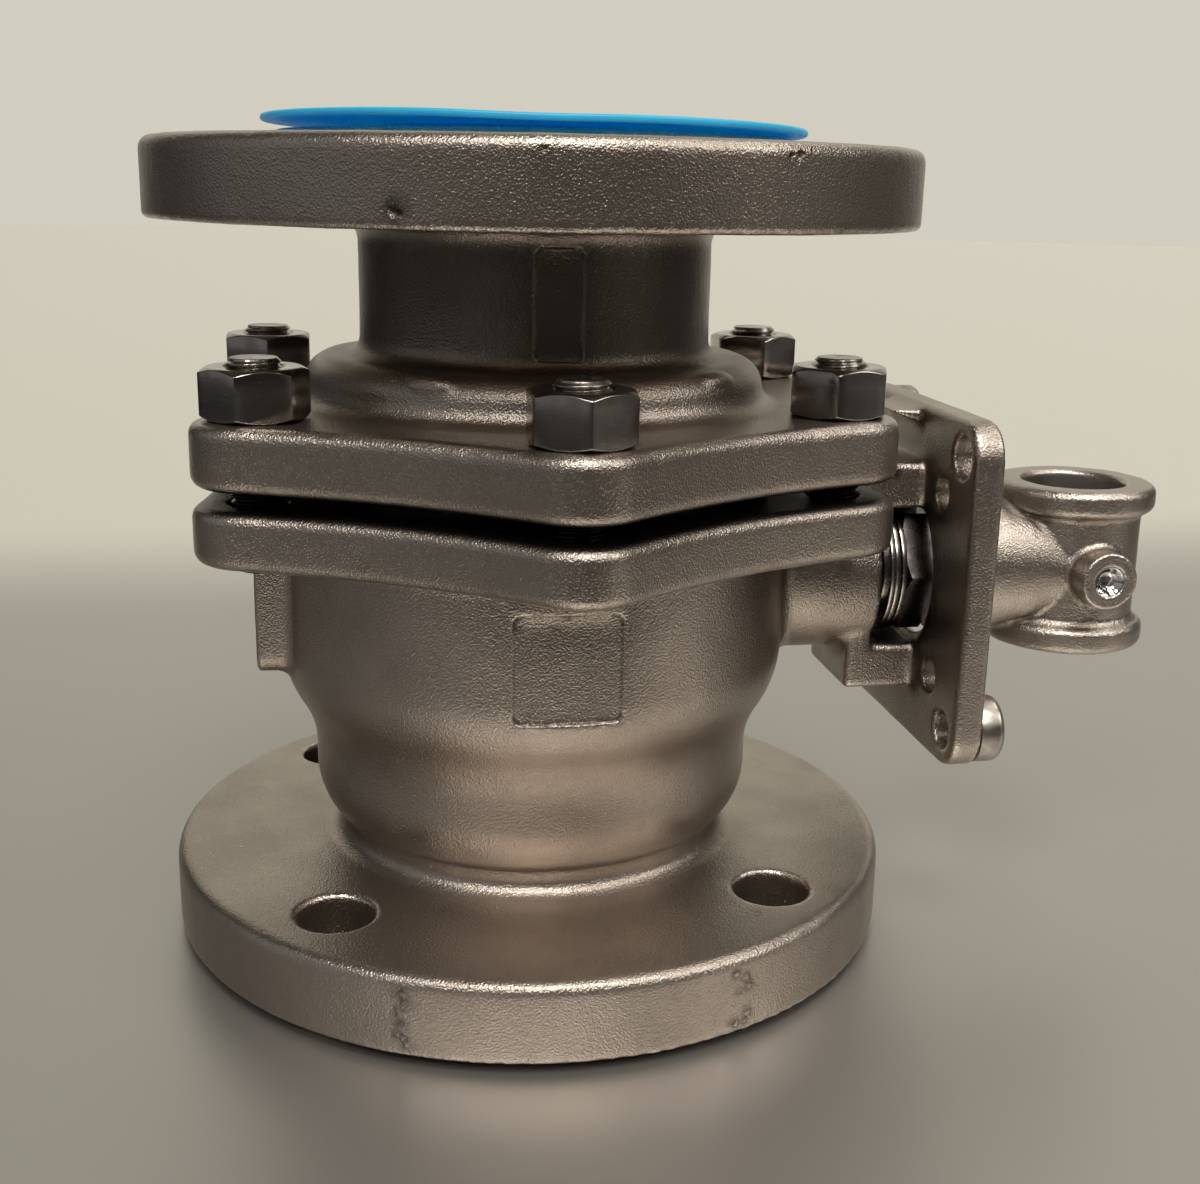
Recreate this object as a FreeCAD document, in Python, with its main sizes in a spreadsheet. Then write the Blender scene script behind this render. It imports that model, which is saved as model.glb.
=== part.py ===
"""Flanged ball valve: split body, full bore, direct-mount pad and a head for a pipe lever.

Millimetres. The origin is the centre of the lower raised face, +Z runs up the bore, and +X runs
out along the stem. The valve is open, so the ball's bore and the lever socket both run along Z.
"""
import FreeCAD, Part
import math
import os

import Sketcher

os.makedirs("parts", exist_ok=True)
doc = FreeCAD.newDocument("ball_valve")

# Driving dimensions
SIZES = {
    # end flanges
    "face_to_face": 203.2,
    "bore_diameter": 76.2,
    "flange_diameter": 190.5,
    "flange_thickness": 20.0,
    "upper_flange_thickness": 18.7,
    "flange_edge_round": 3.0,
    "flange_small_round": 1.2,
    "raised_face_inset": 31.75,
    "raised_face_height": 2.0,
    "flange_bolt_inset": 19.05,
    "flange_bolt_hole": 19.05,
    "neck_diameter": 88.9,
    "neck_root_round": 4.0,
    # lower casting
    "body_waist_diameter": 116.0,
    "body_belly_diameter": 133.0,
    "waist_bottom": 42.0,
    "waist_top": 47.0,
    "belly_drop": 15.5,
    "waist_round": 18.0,
    "cavity_diameter": 115.0,
    # ball and seats
    "ball_centre_height": 91.5,
    "ball_diameter": 110.0,
    "ball_slot_width": 12.2,
    "ball_slot_floor": 45.0,
    "seat_floor": 45.5,
    "seat_ring_width": 10.9,
    "seat_lip_width": 3.0,
    "seat_bore_gap": 1.0,
    "seat_pocket_depth": 20.0,
    "cavity_cone_height": 10.0,
    "ball_gap": 0.3,
    "fit_gap": 0.1,
    # split joint
    "joint_flange_rise": 14.7,
    "joint_flange_thickness": 13.6,
    "joint_gap": 4.1,
    "cap_flange_thickness": 15.1,
    "joint_edge_round": 3.0,
    "lobe_radius": 15.2,
    "lobe_hollow_reach": 80.0,
    "stud_circle": 158.6,
    "stud_diameter": 12.7,
    "stud_clearance_hole": 14.0,
    "stud_tip": 2.0,
    "stud_tail": 2.2,
    "stud_end_chamfer": 1.2,
    "stud_nut_flats": 22.2,
    "stud_nut_height": 12.0,
    "spot_face_diameter": 38.0,
    "register_diameter": 124.0,
    "register_depth": 12.8,
    "gasket_thickness": 1.6,
    "gasket_inner_diameter": 115.4,
    # shoulder of the end cap
    "shoulder_diameter": 117.0,
    "shoulder_height": 11.0,
    "shoulder_round": 7.0,
    "shoulder_root_round": 3.0,
    # bare panels sunk in the castings
    "panel_depth": 0.7,
    "neck_panel_above_shoulder": 2.0,
    "neck_panel_below_flange": 4.5,
    "neck_panel_half_width": 6.0,
    "body_panel_height": 26.5,
    "body_panel_drop": 6.75,
    "body_panel_half_width": 13.0,
    # stem line, distances along X
    "stem_diameter": 22.0,
    "stem_collar_diameter": 30.0,
    "stem_collar_start": 57.0,
    "stem_collar_thickness": 4.0,
    "stem_tang_width": 12.0,
    "stem_tang_length": 24.0,
    "stem_square": 17.0,
    "stem_square_start": 111.5,
    "stem_end": 137.0,
    "thrust_washer_thickness": 1.5,
    "packing_floor": 70.0,
    "packing_chamber_diameter": 31.0,
    "packing_ring_height": 3.5,
    "chevron_rise": 0.8,
    "gland_end": 93.2,
    "spring_washer_thickness": 1.3,
    "spring_washer_dish": 0.7,
    "spring_washer_leg_gap": 0.7,
    "lock_washer_thickness": 1.2,
    "lock_washer_rim": 0.5,
    "lock_tab_width": 8.0,
    "lock_tab_length": 8.0,
    "stem_nut_flats": 32.0,
    "stem_nut_height": 9.0,
    # stem neck, legs and mounting pad of the lower casting
    "stem_neck_diameter": 44.0,
    "stem_neck_end": 90.2,
    "leg_start": 83.5,
    "leg_width": 32.0,
    "leg_nut_gap": 0.42,
    "leg_thickness": 12.1,
    "leg_edge_round": 1.8,
    "pad_start": 103.2,
    "pad_thickness": 8.0,
    "pad_side": 91.0,
    "pad_corner_round": 10.0,
    "pad_edge_round": 1.5,
    "pad_bore_diameter": 45.0,
    "spigot_diameter": 55.0,
    "spigot_depth": 2.5,
    "small_pad_bolt_circle": 70.0,
    "small_pad_bolt_hole": 9.0,
    "large_pad_bolt_circle": 102.0,
    "large_pad_bolt_hole": 11.0,
    "pad_lug_half_width": 12.0,
    "pad_lug_shift": 3.0,
    "pad_lug_depth": 8.2,
    "pad_lug_height": 3.6,
    "pad_lug_nose": 0.6,
    "pad_lug_below_top": 1.5,
    # machining pad opposite the stem
    "back_pad_reach": 72.0,
    "back_pad_height": 40.6,
    "back_pad_width": 40.0,
    "back_pad_round": 5.0,
    # travel stop
    "stop_plate_thickness": 3.0,
    "stop_plate_hub_diameter": 38.0,
    "stop_plate_reach": 47.0,
    "stop_screw_diameter": 10.0,
    "stop_screw_head_diameter": 17.5,
    "stop_screw_head_height": 6.8,
    "stop_screw_head_round": 2.0,
    "stop_screw_socket": 6.0,
    "stop_screw_socket_depth": 3.4,
    "stop_screw_tip_inset": 3.0,
    "stop_gap": 0.3,
    # lever head
    "lever_tube_distance": 152.3,
    "lever_tube_diameter": 38.0,
    "lever_bore_diameter": 28.0,
    "lever_reach_down": 22.2,
    "lever_reach_up": 23.2,
    "lever_bore_chamfer": 1.0,
    "lever_rim_diameter": 44.4,
    "lever_rim_height": 7.5,
    "lever_rim_round": 2.5,
    "lever_hub_diameter": 36.0,
    "lever_hub_start": 114.6,
    "lever_boss_diameter": 15.5,
    "lever_boss_reach": 26.5,
    "lever_screw_diameter": 8.0,
    "lever_screw_recess": 0.5,
    "lever_screw_dish": 1.8,
    "lever_screw_chamfer": 1.0,
    "lever_screw_socket": 4.0,
    "hub_screw_distance": 126.0,
    # protective cover on the upper raised face
    "cover_overhang": 3.5,
    "cover_thickness": 1.5,
    "cover_edge_round": 0.6,
    "cover_lift": 2.1,
    "cover_plug_diameter": 74.6,
    "cover_plug_depth": 14.0,
    "cover_plug_wall": 1.6,
}


class Size:
    """A length that carries its value and the sheet formula that gives it."""

    def __init__(self, value, formula):
        self.value = value
        self.formula = formula

    def __add__(self, other):
        return Size(self.value + number(other), f"({self.formula} + {formula(other)})")

    def __radd__(self, other):
        return as_size(other) + self

    def __sub__(self, other):
        return Size(self.value - number(other), f"({self.formula} - {formula(other)})")

    def __rsub__(self, other):
        return as_size(other) - self

    def __mul__(self, other):
        return Size(self.value * number(other), f"({self.formula} * {formula(other)})")

    def __rmul__(self, other):
        return self * other

    def __truediv__(self, other):
        return Size(self.value / number(other), f"({self.formula} / {formula(other)})")

    def __neg__(self):
        return Size(-self.value, f"(-{self.formula})")

    def root(self):
        return Size(math.sqrt(self.value), f"sqrt({self.formula})")


def number(quantity):
    """The plain value of a Size or a number."""
    return quantity.value if isinstance(quantity, Size) else float(quantity)


def formula(quantity):
    """The text that the document uses for a Size or a number."""
    return quantity.formula if isinstance(quantity, Size) else f"{float(quantity):.9f}"


def as_size(quantity):
    return Size(number(quantity), formula(quantity))


class Sheet:
    """The spreadsheet of driving dimensions; each one is read as an attribute."""

    def __init__(self, sizes):
        cells = doc.addObject("Spreadsheet::Sheet", "Sizes")
        for row, (name, value) in enumerate(sizes.items(), start=1):
            cells.set(f"A{row}", name)
            cells.set(f"B{row}", str(value))
            cells.setAlias(f"B{row}", name)
            setattr(self, name, Size(float(value), f"Sizes.{name}"))


size = Sheet(SIZES)
doc.recompute()


# Places worked out from the driving dimensions
bore_radius = size.bore_diameter / 2
flange_radius = size.flange_diameter / 2
neck_radius = size.neck_diameter / 2
ball_radius = size.ball_diameter / 2
ball_height = size.ball_centre_height
waist_radius = size.body_waist_diameter / 2
belly_radius = size.body_belly_diameter / 2
cavity_radius = size.cavity_diameter / 2
seat_bore_radius = bore_radius + size.seat_bore_gap
seat_radius = seat_bore_radius + size.seat_ring_width
pocket_radius = seat_radius + size.ball_gap
raised_face_radius = flange_radius - size.raised_face_inset
flange_bolt_circle = size.flange_diameter - size.flange_bolt_inset * 2
flange_top = size.raised_face_height + size.flange_thickness
upper_flange_bottom = size.face_to_face - size.raised_face_height - size.upper_flange_thickness
joint_flange_bottom = ball_height + size.joint_flange_rise
joint_face = joint_flange_bottom + size.joint_flange_thickness
cap_face = joint_face + size.joint_gap
cap_flange_top = cap_face + size.cap_flange_thickness
shoulder_top = cap_flange_top + size.shoulder_height
register_floor = joint_face - size.register_depth
spigot_end = register_floor + size.gasket_thickness
register_radius = size.register_diameter / 2
stem_radius = size.stem_diameter / 2
chamber_radius = size.packing_chamber_diameter / 2
washer_seat = size.stem_collar_start + size.stem_collar_thickness + size.thrust_washer_thickness
pad_face = size.pad_start + size.pad_thickness
pad_half = size.pad_side / 2
lever_bore_radius = size.lever_bore_diameter / 2
lever_screw_radius = size.lever_screw_diameter / 2
corner_share = math.sqrt(0.5)
spring_washer_middle = size.gland_end + size.spring_washer_thickness + size.spring_washer_dish
lock_washer_start = spring_washer_middle + size.spring_washer_thickness + size.spring_washer_dish
stem_nut_start = lock_washer_start + size.lock_washer_thickness
hub_screw_end = size.lever_hub_diameter / 2 - size.lever_screw_recess
leg_inner_offset = size.stem_nut_flats / math.sqrt(3) + size.leg_nut_gap

STUD_COUNT = 6
FIRST_STUD_ANGLE = 30
PACKING_RINGS = 3
NUT_BEVEL_SLOPE = math.tan(math.radians(30))
COVER_HIGH_SIDE = math.radians(-145)


# Drawing helpers
def new_body(label, origin=(0, 0, 0), rotation=None):
    """An empty body with its own label, placed by sheet formulas."""
    body = doc.addObject("PartDesign::Body", label)
    body.Label = label
    if rotation:
        body.Placement = FreeCAD.Placement(FreeCAD.Vector(), rotation)
    for axis, distance in zip("xyz", origin):
        body.setExpression(f"Placement.Base.{axis}", formula(distance))
    return body


def origin_feature(body, role):
    return next(item for item in body.Origin.OriginFeatures if item.Role == role)


def new_sketch(body, plane, offset=0):
    sketch = body.newObject("Sketcher::SketchObject", f"{body.Label}_sketch")
    sketch.AttachmentSupport = [(origin_feature(body, plane), "")]
    sketch.MapMode = "FlatFace"
    sketch.setExpression("AttachmentOffset.Base.z", formula(offset))
    return sketch


def arc_between(start, end, radius):
    """The short arc from start to end that turns left for a positive radius, right for a negative."""
    chord = end - start
    middle = (start + end) / 2
    across = FreeCAD.Vector(-chord.y, chord.x, 0).normalize()
    drop = math.sqrt(max(radius * radius - chord.Length ** 2 / 4, 0.0))
    centre = middle + across * math.copysign(drop, radius)
    first, last = (start, end) if radius > 0 else (end, start)
    circle = Part.Circle(centre, FreeCAD.Vector(0, 0, 1), abs(radius))
    angles = [math.atan2(point.y - centre.y, point.x - centre.x) for point in (first, last)]
    return Part.ArcOfCircle(circle, angles[0], angles[1])


def pin(sketch, geometry, vertex, x, y):
    """Fixes one point of the sketch by its two distances from the sketch's origin."""
    for kind, distance, axis in (("DistanceX", x, -2), ("DistanceY", y, -1)):
        if abs(number(distance)) < 1e-9:
            sketch.addConstraint(Sketcher.Constraint("PointOnObject", geometry, vertex, axis))
        else:
            rule = Sketcher.Constraint(kind, -1, 1, geometry, vertex, number(distance))
            row = sketch.addConstraint(rule)
            sketch.setExpression(f"Constraints[{row}]", formula(distance))


def draw_outline(sketch, path):
    """Draws a closed outline; a third value makes the stretch to that point an arc of that radius."""
    points = [FreeCAD.Vector(number(spot[0]), number(spot[1]), 0) for spot in path]
    first = sketch.GeometryCount
    ends = []
    for index, spot in enumerate(path):
        start, end = points[index - 1], points[index]
        if len(spot) == 2:
            sketch.addGeometry(Part.LineSegment(start, end), False)
            ends.append((1, 2))
        else:
            row = sketch.addGeometry(arc_between(start, end, number(spot[2])), False)
            ends.append((1, 2) if number(spot[2]) > 0 else (2, 1))
            rule = sketch.addConstraint(Sketcher.Constraint("Radius", row, abs(number(spot[2]))))
            sketch.setExpression(f"Constraints[{rule}]", f"abs({formula(spot[2])})")
    for index, spot in enumerate(path):
        after = (index + 1) % len(path)
        joint = Sketcher.Constraint("Coincident", first + index, ends[index][1],
                                    first + after, ends[after][0])
        sketch.addConstraint(joint)
        pin(sketch, first + index, ends[index][1], spot[0], spot[1])


def draw_circle(sketch, x, y, radius):
    centre = FreeCAD.Vector(number(x), number(y), 0)
    circle = Part.Circle(centre, FreeCAD.Vector(0, 0, 1), number(radius))
    row = sketch.addGeometry(circle, False)
    rule = sketch.addConstraint(Sketcher.Constraint("Radius", row, number(radius)))
    sketch.setExpression(f"Constraints[{rule}]", formula(radius))
    pin(sketch, row, 3, x, y)


def rectangle(left, bottom, right, top):
    return [(left, bottom), (right, bottom), (right, top), (left, top)]


def rounded_rectangle(left, bottom, right, top, corner):
    return [
        (left + corner, bottom, corner), (right - corner, bottom), (right, bottom + corner, corner),
        (right, top - corner), (right - corner, top, corner), (left + corner, top),
        (left, top - corner, corner), (left, bottom + corner),
    ]


def hexagon(flats, centre=0):
    """Corner points of a hexagon by its distance across flats, with a corner on the local X axis."""
    reach = flats / math.sqrt(3)
    angles = [math.radians(60 * step) for step in range(6)]
    return [(centre + reach * math.cos(angle), reach * math.sin(angle)) for angle in angles]


def volume(body):
    return body.Shape.Volume if body.Tip else 0.0


def finish_feature(body, feature, before, adds):
    """Recomputes and makes sure that the feature changed the solid the way it should."""
    body.Tip = feature
    doc.recompute()
    if feature.Shape.isNull():
        raise RuntimeError(f"{feature.Name} in {body.Label} failed: {feature.getStatusString()}")
    change = volume(body) - before
    if change * (1 if adds else -1) <= 0:
        raise RuntimeError(f"{feature.Name} in {body.Label} changed the volume by {change:.3f}")
    return feature


def extrude(body, sketch, length, adds=True, backwards=False, both_ways=False):
    before = volume(body)
    kind = "PartDesign::Pad" if adds else "PartDesign::Pocket"
    feature = body.newObject(kind, f"{body.Label}_{'pad' if adds else 'pocket'}")
    feature.Profile = sketch
    feature.setExpression("Length", formula(length))
    feature.Reversed = backwards
    feature.Midplane = both_ways
    return finish_feature(body, feature, before, adds)


def turn(body, sketch, adds=True, degrees=360):
    """Turns a sketch about its own upright axis, by a part turn shared equally to both sides."""
    before = volume(body)
    kind = "PartDesign::Revolution" if adds else "PartDesign::Groove"
    feature = body.newObject(kind, f"{body.Label}_{'turned' if adds else 'bored'}")
    feature.Profile = sketch
    feature.ReferenceAxis = (sketch, ["V_Axis"])
    feature.Angle = degrees
    feature.Midplane = degrees < 360
    return finish_feature(body, feature, before, adds)


def repeat_round_bore(body, features, count, adds=True):
    """Repeats features evenly about the body's Z axis."""
    before = volume(body)
    pattern = body.newObject("PartDesign::PolarPattern", f"{body.Label}_pattern")
    pattern.Originals = features
    pattern.Axis = (origin_feature(body, "Z_Axis"), [""])
    pattern.Angle = 360
    pattern.Occurrences = count
    return finish_feature(body, pattern, before, adds)


def round_edges(body, radius, wanted):
    """Rounds every edge for which wanted(edge) is true."""
    before, base = volume(body), body.Tip
    names = [f"Edge{index}" for index, edge in enumerate(body.Shape.Edges, start=1) if wanted(edge)]
    feature = body.newObject("PartDesign::Fillet", f"{body.Label}_round")
    feature.Base = (base, names)
    feature.setExpression("Radius", formula(radius))
    return finish_feature(body, feature, before, adds=False)


def turned_body(label, path, origin=(0, 0, 0), rotation=None):
    """A body turned about its own Z axis from a half section in X and Z."""
    body = new_body(label, origin, rotation)
    sketch = new_sketch(body, "XZ_Plane")
    draw_outline(sketch, path)
    turn(body, sketch)
    return body


def ring(inner, outer, bottom, top):
    return rectangle(inner, bottom, outer, top)


# Stem-line pieces are drawn with local Z along the stem and local Y up the bore
STEM_TURN = FreeCAD.Rotation(FreeCAD.Vector(0, 1, 0), FreeCAD.Vector(0, 0, 1),
                             FreeCAD.Vector(1, 0, 0), "ZXY")
STEM_ORIGIN = (0, 0, ball_height)
# Stud pieces are drawn on the local X axis, which points at the first stud
STUD_TURN = FreeCAD.Rotation(FreeCAD.Vector(0, 0, 1), FIRST_STUD_ANGLE)


# Shared outlines
def lobed_outline():
    """The split joint's flange: six lobes round the studs, joined by long hollow arcs."""
    chord_half = size.stud_circle / 4
    chord_distance = size.stud_circle / 2 * math.cos(math.radians(30))
    rise = size.lobe_hollow_reach - chord_distance
    hollow = (rise * rise + chord_half * chord_half - size.lobe_radius * size.lobe_radius) / (
        (size.lobe_radius - rise) * 2)
    hollow_centre = size.lobe_hollow_reach + hollow
    # tangent point on the lobe at angle zero, towards the hollow at thirty degrees
    across = hollow_centre * math.cos(math.radians(30)) - size.stud_circle / 2
    along = hollow_centre * math.sin(math.radians(30))
    share = size.lobe_radius / (size.lobe_radius + hollow)
    touch_x = size.stud_circle / 2 + across * share
    touch_y = along * share
    path = []
    for lobe in range(STUD_COUNT):
        turned = math.radians(360 / STUD_COUNT * lobe + FIRST_STUD_ANGLE)
        cosine, sine = math.cos(turned), math.sin(turned)
        path.append((touch_x * cosine + touch_y * sine, touch_x * sine - touch_y * cosine, -hollow))
        path.append((touch_x * cosine - touch_y * sine, touch_x * sine + touch_y * cosine,
                     size.lobe_radius))
    return path


def on_circle(diameter, degrees):
    turned = math.radians(degrees)
    return diameter / 2 * math.cos(turned), diameter / 2 * math.sin(turned)


def cut_flange_holes(body, bottom):
    """Four through holes on the flange bolt circle, straddling the stem."""
    sketch = new_sketch(body, "XY_Plane", bottom - size.raised_face_height)
    draw_circle(sketch, *on_circle(flange_bolt_circle, 45), size.flange_bolt_hole / 2)
    reach = size.flange_thickness + size.raised_face_height * 2
    hole = extrude(body, sketch, reach, adds=False, backwards=True)
    repeat_round_bore(body, [hole], 4, adds=False)


def cut_stud_holes(body, bottom, length, radius):
    sketch = new_sketch(body, "XY_Plane", bottom)
    draw_circle(sketch, *on_circle(size.stud_circle, FIRST_STUD_ANGLE), radius)
    hole = extrude(body, sketch, length, adds=False, backwards=True)
    repeat_round_bore(body, [hole], STUD_COUNT, adds=False)


def sink_panel(body, surface_radius, bottom, top, half_width):
    """A shallow bare panel in the side that faces -Y, with a floor that follows the round wall."""
    outside = surface_radius + size.panel_depth
    floor = surface_radius - size.panel_depth
    half_angle = math.degrees(math.asin(number(half_width) / number(surface_radius)))
    sketch = new_sketch(body, "YZ_Plane")
    draw_outline(sketch, rectangle(-outside, bottom, -floor, top))
    turn(body, sketch, adds=False, degrees=half_angle * 2)


# Lower casting: flange, belly, split flange, stem neck, legs and mounting pad
def lower_casting():
    body = new_body("body")
    edge = size.flange_edge_round
    small = size.flange_small_round
    rim_bottom = size.raised_face_height
    waist_centre = waist_radius - size.waist_round
    root_height = flange_top + size.neck_root_round
    rise = size.waist_bottom - root_height
    arm = size.waist_round + size.neck_root_round
    root_centre = waist_centre + (arm * arm - rise * rise).root()
    share = size.neck_root_round / arm
    step = belly_radius - waist_radius
    belly_bottom = ball_height - size.belly_drop
    climb = belly_bottom - size.waist_top
    sweep = (step * step + climb * climb) / (step * 4)
    sketch = new_sketch(body, "XZ_Plane")
    draw_outline(sketch, [
        (0, 0), (raised_face_radius, 0), (raised_face_radius, rim_bottom),
        (flange_radius - small, rim_bottom), (flange_radius, rim_bottom + small, small),
        (flange_radius, flange_top - edge), (flange_radius - edge, flange_top, edge),
        (root_centre, flange_top),
        (root_centre + (waist_centre - root_centre) * share, root_height + rise * share,
         -size.neck_root_round),
        (waist_radius, size.waist_bottom, size.waist_round), (waist_radius, size.waist_top),
        (waist_radius + step / 2, size.waist_top + climb / 2, -sweep),
        (belly_radius, belly_bottom, sweep), (belly_radius, joint_face), (0, joint_face),
    ])
    turn(body, sketch)

    sketch = new_sketch(body, "XY_Plane", joint_flange_bottom)
    draw_outline(sketch, lobed_outline())
    extrude(body, sketch, size.joint_flange_thickness)
    round_lobes(body, joint_flange_bottom, joint_face, belly_radius)

    add_stem_neck(body)
    add_mounting_pad(body)
    half_width = size.back_pad_width / 2
    half_height = size.back_pad_height / 2
    sketch = new_sketch(body, "YZ_Plane", -size.back_pad_reach)
    draw_outline(sketch, rounded_rectangle(-half_width, ball_height - half_height, half_width,
                                           ball_height + half_height, size.back_pad_round))
    extrude(body, sketch, size.back_pad_reach - cavity_radius + size.ball_gap)

    bore_lower_casting(body)
    drill_mounting_pad(body)
    panel_bottom = ball_height - size.body_panel_drop - size.body_panel_height / 2
    sink_panel(body, belly_radius, panel_bottom, panel_bottom + size.body_panel_height,
               size.body_panel_half_width)
    cut_flange_holes(body, size.raised_face_height)
    cut_stud_holes(body, joint_flange_bottom, size.joint_flange_thickness,
                   size.stud_diameter / 2 + size.fit_gap / 2)
    return body


def round_lobes(body, bottom, top, shell_radius):
    """Rounds the two outer edges of the lobed flange, clear of the shell that it stands on."""
    clear_of_shell = number(size.lobe_hollow_reach + shell_radius) / 2

    def on_rim(edge):
        box = edge.BoundBox
        middle = edge.valueAt((edge.FirstParameter + edge.LastParameter) / 2)
        flat = box.ZLength < 1e-4
        level = any(abs(box.ZMin - number(height)) < 1e-4 for height in (bottom, top))
        return flat and level and math.hypot(middle.x, middle.y) > clear_of_shell

    round_edges(body, size.joint_edge_round, on_rim)


def add_stem_neck(body):
    """The round boss that holds the packing, from inside the shell to its open end."""
    sketch = new_sketch(body, "YZ_Plane", size.stem_neck_end)
    draw_circle(sketch, 0, ball_height, size.stem_neck_diameter / 2)
    extrude(body, sketch, size.stem_neck_end - size.stem_collar_start, backwards=True)


def add_mounting_pad(body):
    """Two legs from a block round the neck carry the square pad; a wedge lug stands on the pad."""
    half_leg = size.leg_width / 2
    near = leg_inner_offset
    far = near + size.leg_thickness
    for low, high in ((ball_height + near, ball_height + far), (ball_height - far, ball_height - near)):
        sketch = new_sketch(body, "YZ_Plane", size.leg_start)
        draw_outline(sketch, rounded_rectangle(-half_leg, low, half_leg, high, size.leg_edge_round))
        extrude(body, sketch, size.pad_start - size.leg_start)
    block = near + size.leg_thickness / 2
    sketch = new_sketch(body, "YZ_Plane", size.leg_start)
    draw_outline(sketch, rectangle(-half_leg, ball_height - block, half_leg, ball_height + block))
    extrude(body, sketch, size.stem_neck_end - size.leg_start)

    sketch = new_sketch(body, "YZ_Plane", size.pad_start)
    draw_outline(sketch, rounded_rectangle(-pad_half, ball_height - pad_half, pad_half,
                                           ball_height + pad_half, size.pad_corner_round))
    extrude(body, sketch, size.pad_thickness)
    start, face = number(size.pad_start), number(pad_face)

    def on_pad_rim(edge):
        box = edge.BoundBox
        level = any(abs(box.XMin - place) < 1e-4 for place in (start, face))
        middle = edge.valueAt((edge.FirstParameter + edge.LastParameter) / 2)
        offset = max(abs(middle.y), abs(middle.z - number(ball_height)))
        return box.XLength < 1e-4 and level and offset > number(pad_half) - number(size.pad_corner_round)

    round_edges(body, size.pad_edge_round, on_pad_rim)
    lug_top = ball_height + pad_half - size.pad_lug_below_top
    nose = size.pad_start - size.pad_lug_depth
    sketch = new_sketch(body, "XZ_Plane", -size.pad_lug_shift)
    draw_outline(sketch, [
        (size.pad_start, lug_top - size.pad_lug_height), (size.pad_start, lug_top),
        (nose, lug_top), (nose, lug_top - size.pad_lug_nose),
    ])
    extrude(body, sketch, size.pad_lug_half_width * 2, both_ways=True)


def bore_lower_casting(body):
    """The bore, seat pocket, ball cavity and register, then the stepped hole for the stem."""
    floor = ball_height - size.seat_floor
    pocket_top = floor + size.seat_pocket_depth
    sketch = new_sketch(body, "XZ_Plane")
    draw_outline(sketch, [
        (0, 0), (bore_radius, 0), (bore_radius, floor), (pocket_radius, floor),
        (pocket_radius, pocket_top), (cavity_radius, pocket_top + size.cavity_cone_height),
        (cavity_radius, register_floor), (register_radius, register_floor),
        (register_radius, joint_face), (0, joint_face),
    ])
    turn(body, sketch, adds=False)

    collar_radius = size.stem_collar_diameter / 2 + size.ball_gap
    steps = (
        (size.stem_neck_end, size.packing_floor, chamber_radius),
        (size.packing_floor, washer_seat, stem_radius + size.fit_gap / 2),
        (washer_seat, size.ball_slot_floor, collar_radius),
    )
    for outer_end, inner_end, radius in steps:
        sketch = new_sketch(body, "YZ_Plane", outer_end)
        draw_circle(sketch, 0, ball_height, radius)
        extrude(body, sketch, outer_end - inner_end, adds=False)


def drill_mounting_pad(body):
    """Centre bore, spigot recess and both bolt patterns; two corner holes are tapped for the stops."""
    sketch = new_sketch(body, "YZ_Plane", pad_face)
    draw_circle(sketch, 0, ball_height, size.pad_bore_diameter / 2)
    extrude(body, sketch, size.pad_thickness, adds=False)
    sketch = new_sketch(body, "YZ_Plane", pad_face)
    draw_circle(sketch, 0, ball_height, size.spigot_diameter / 2)
    extrude(body, sketch, size.spigot_depth, adds=False)

    near = size.small_pad_bolt_circle / 2 * corner_share
    far = size.large_pad_bolt_circle / 2 * corner_share
    sketch = new_sketch(body, "YZ_Plane", pad_face)
    for across in (-1, 1):
        for up in (-1, 1):
            tapped = across == up
            corner_hole = size.stop_screw_diameter + size.fit_gap if tapped else size.large_pad_bolt_hole
            draw_circle(sketch, near * across, ball_height + near * up, size.small_pad_bolt_hole / 2)
            draw_circle(sketch, far * across, ball_height + far * up, corner_hole / 2)
    extrude(body, sketch, size.pad_thickness, adds=False)


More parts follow.
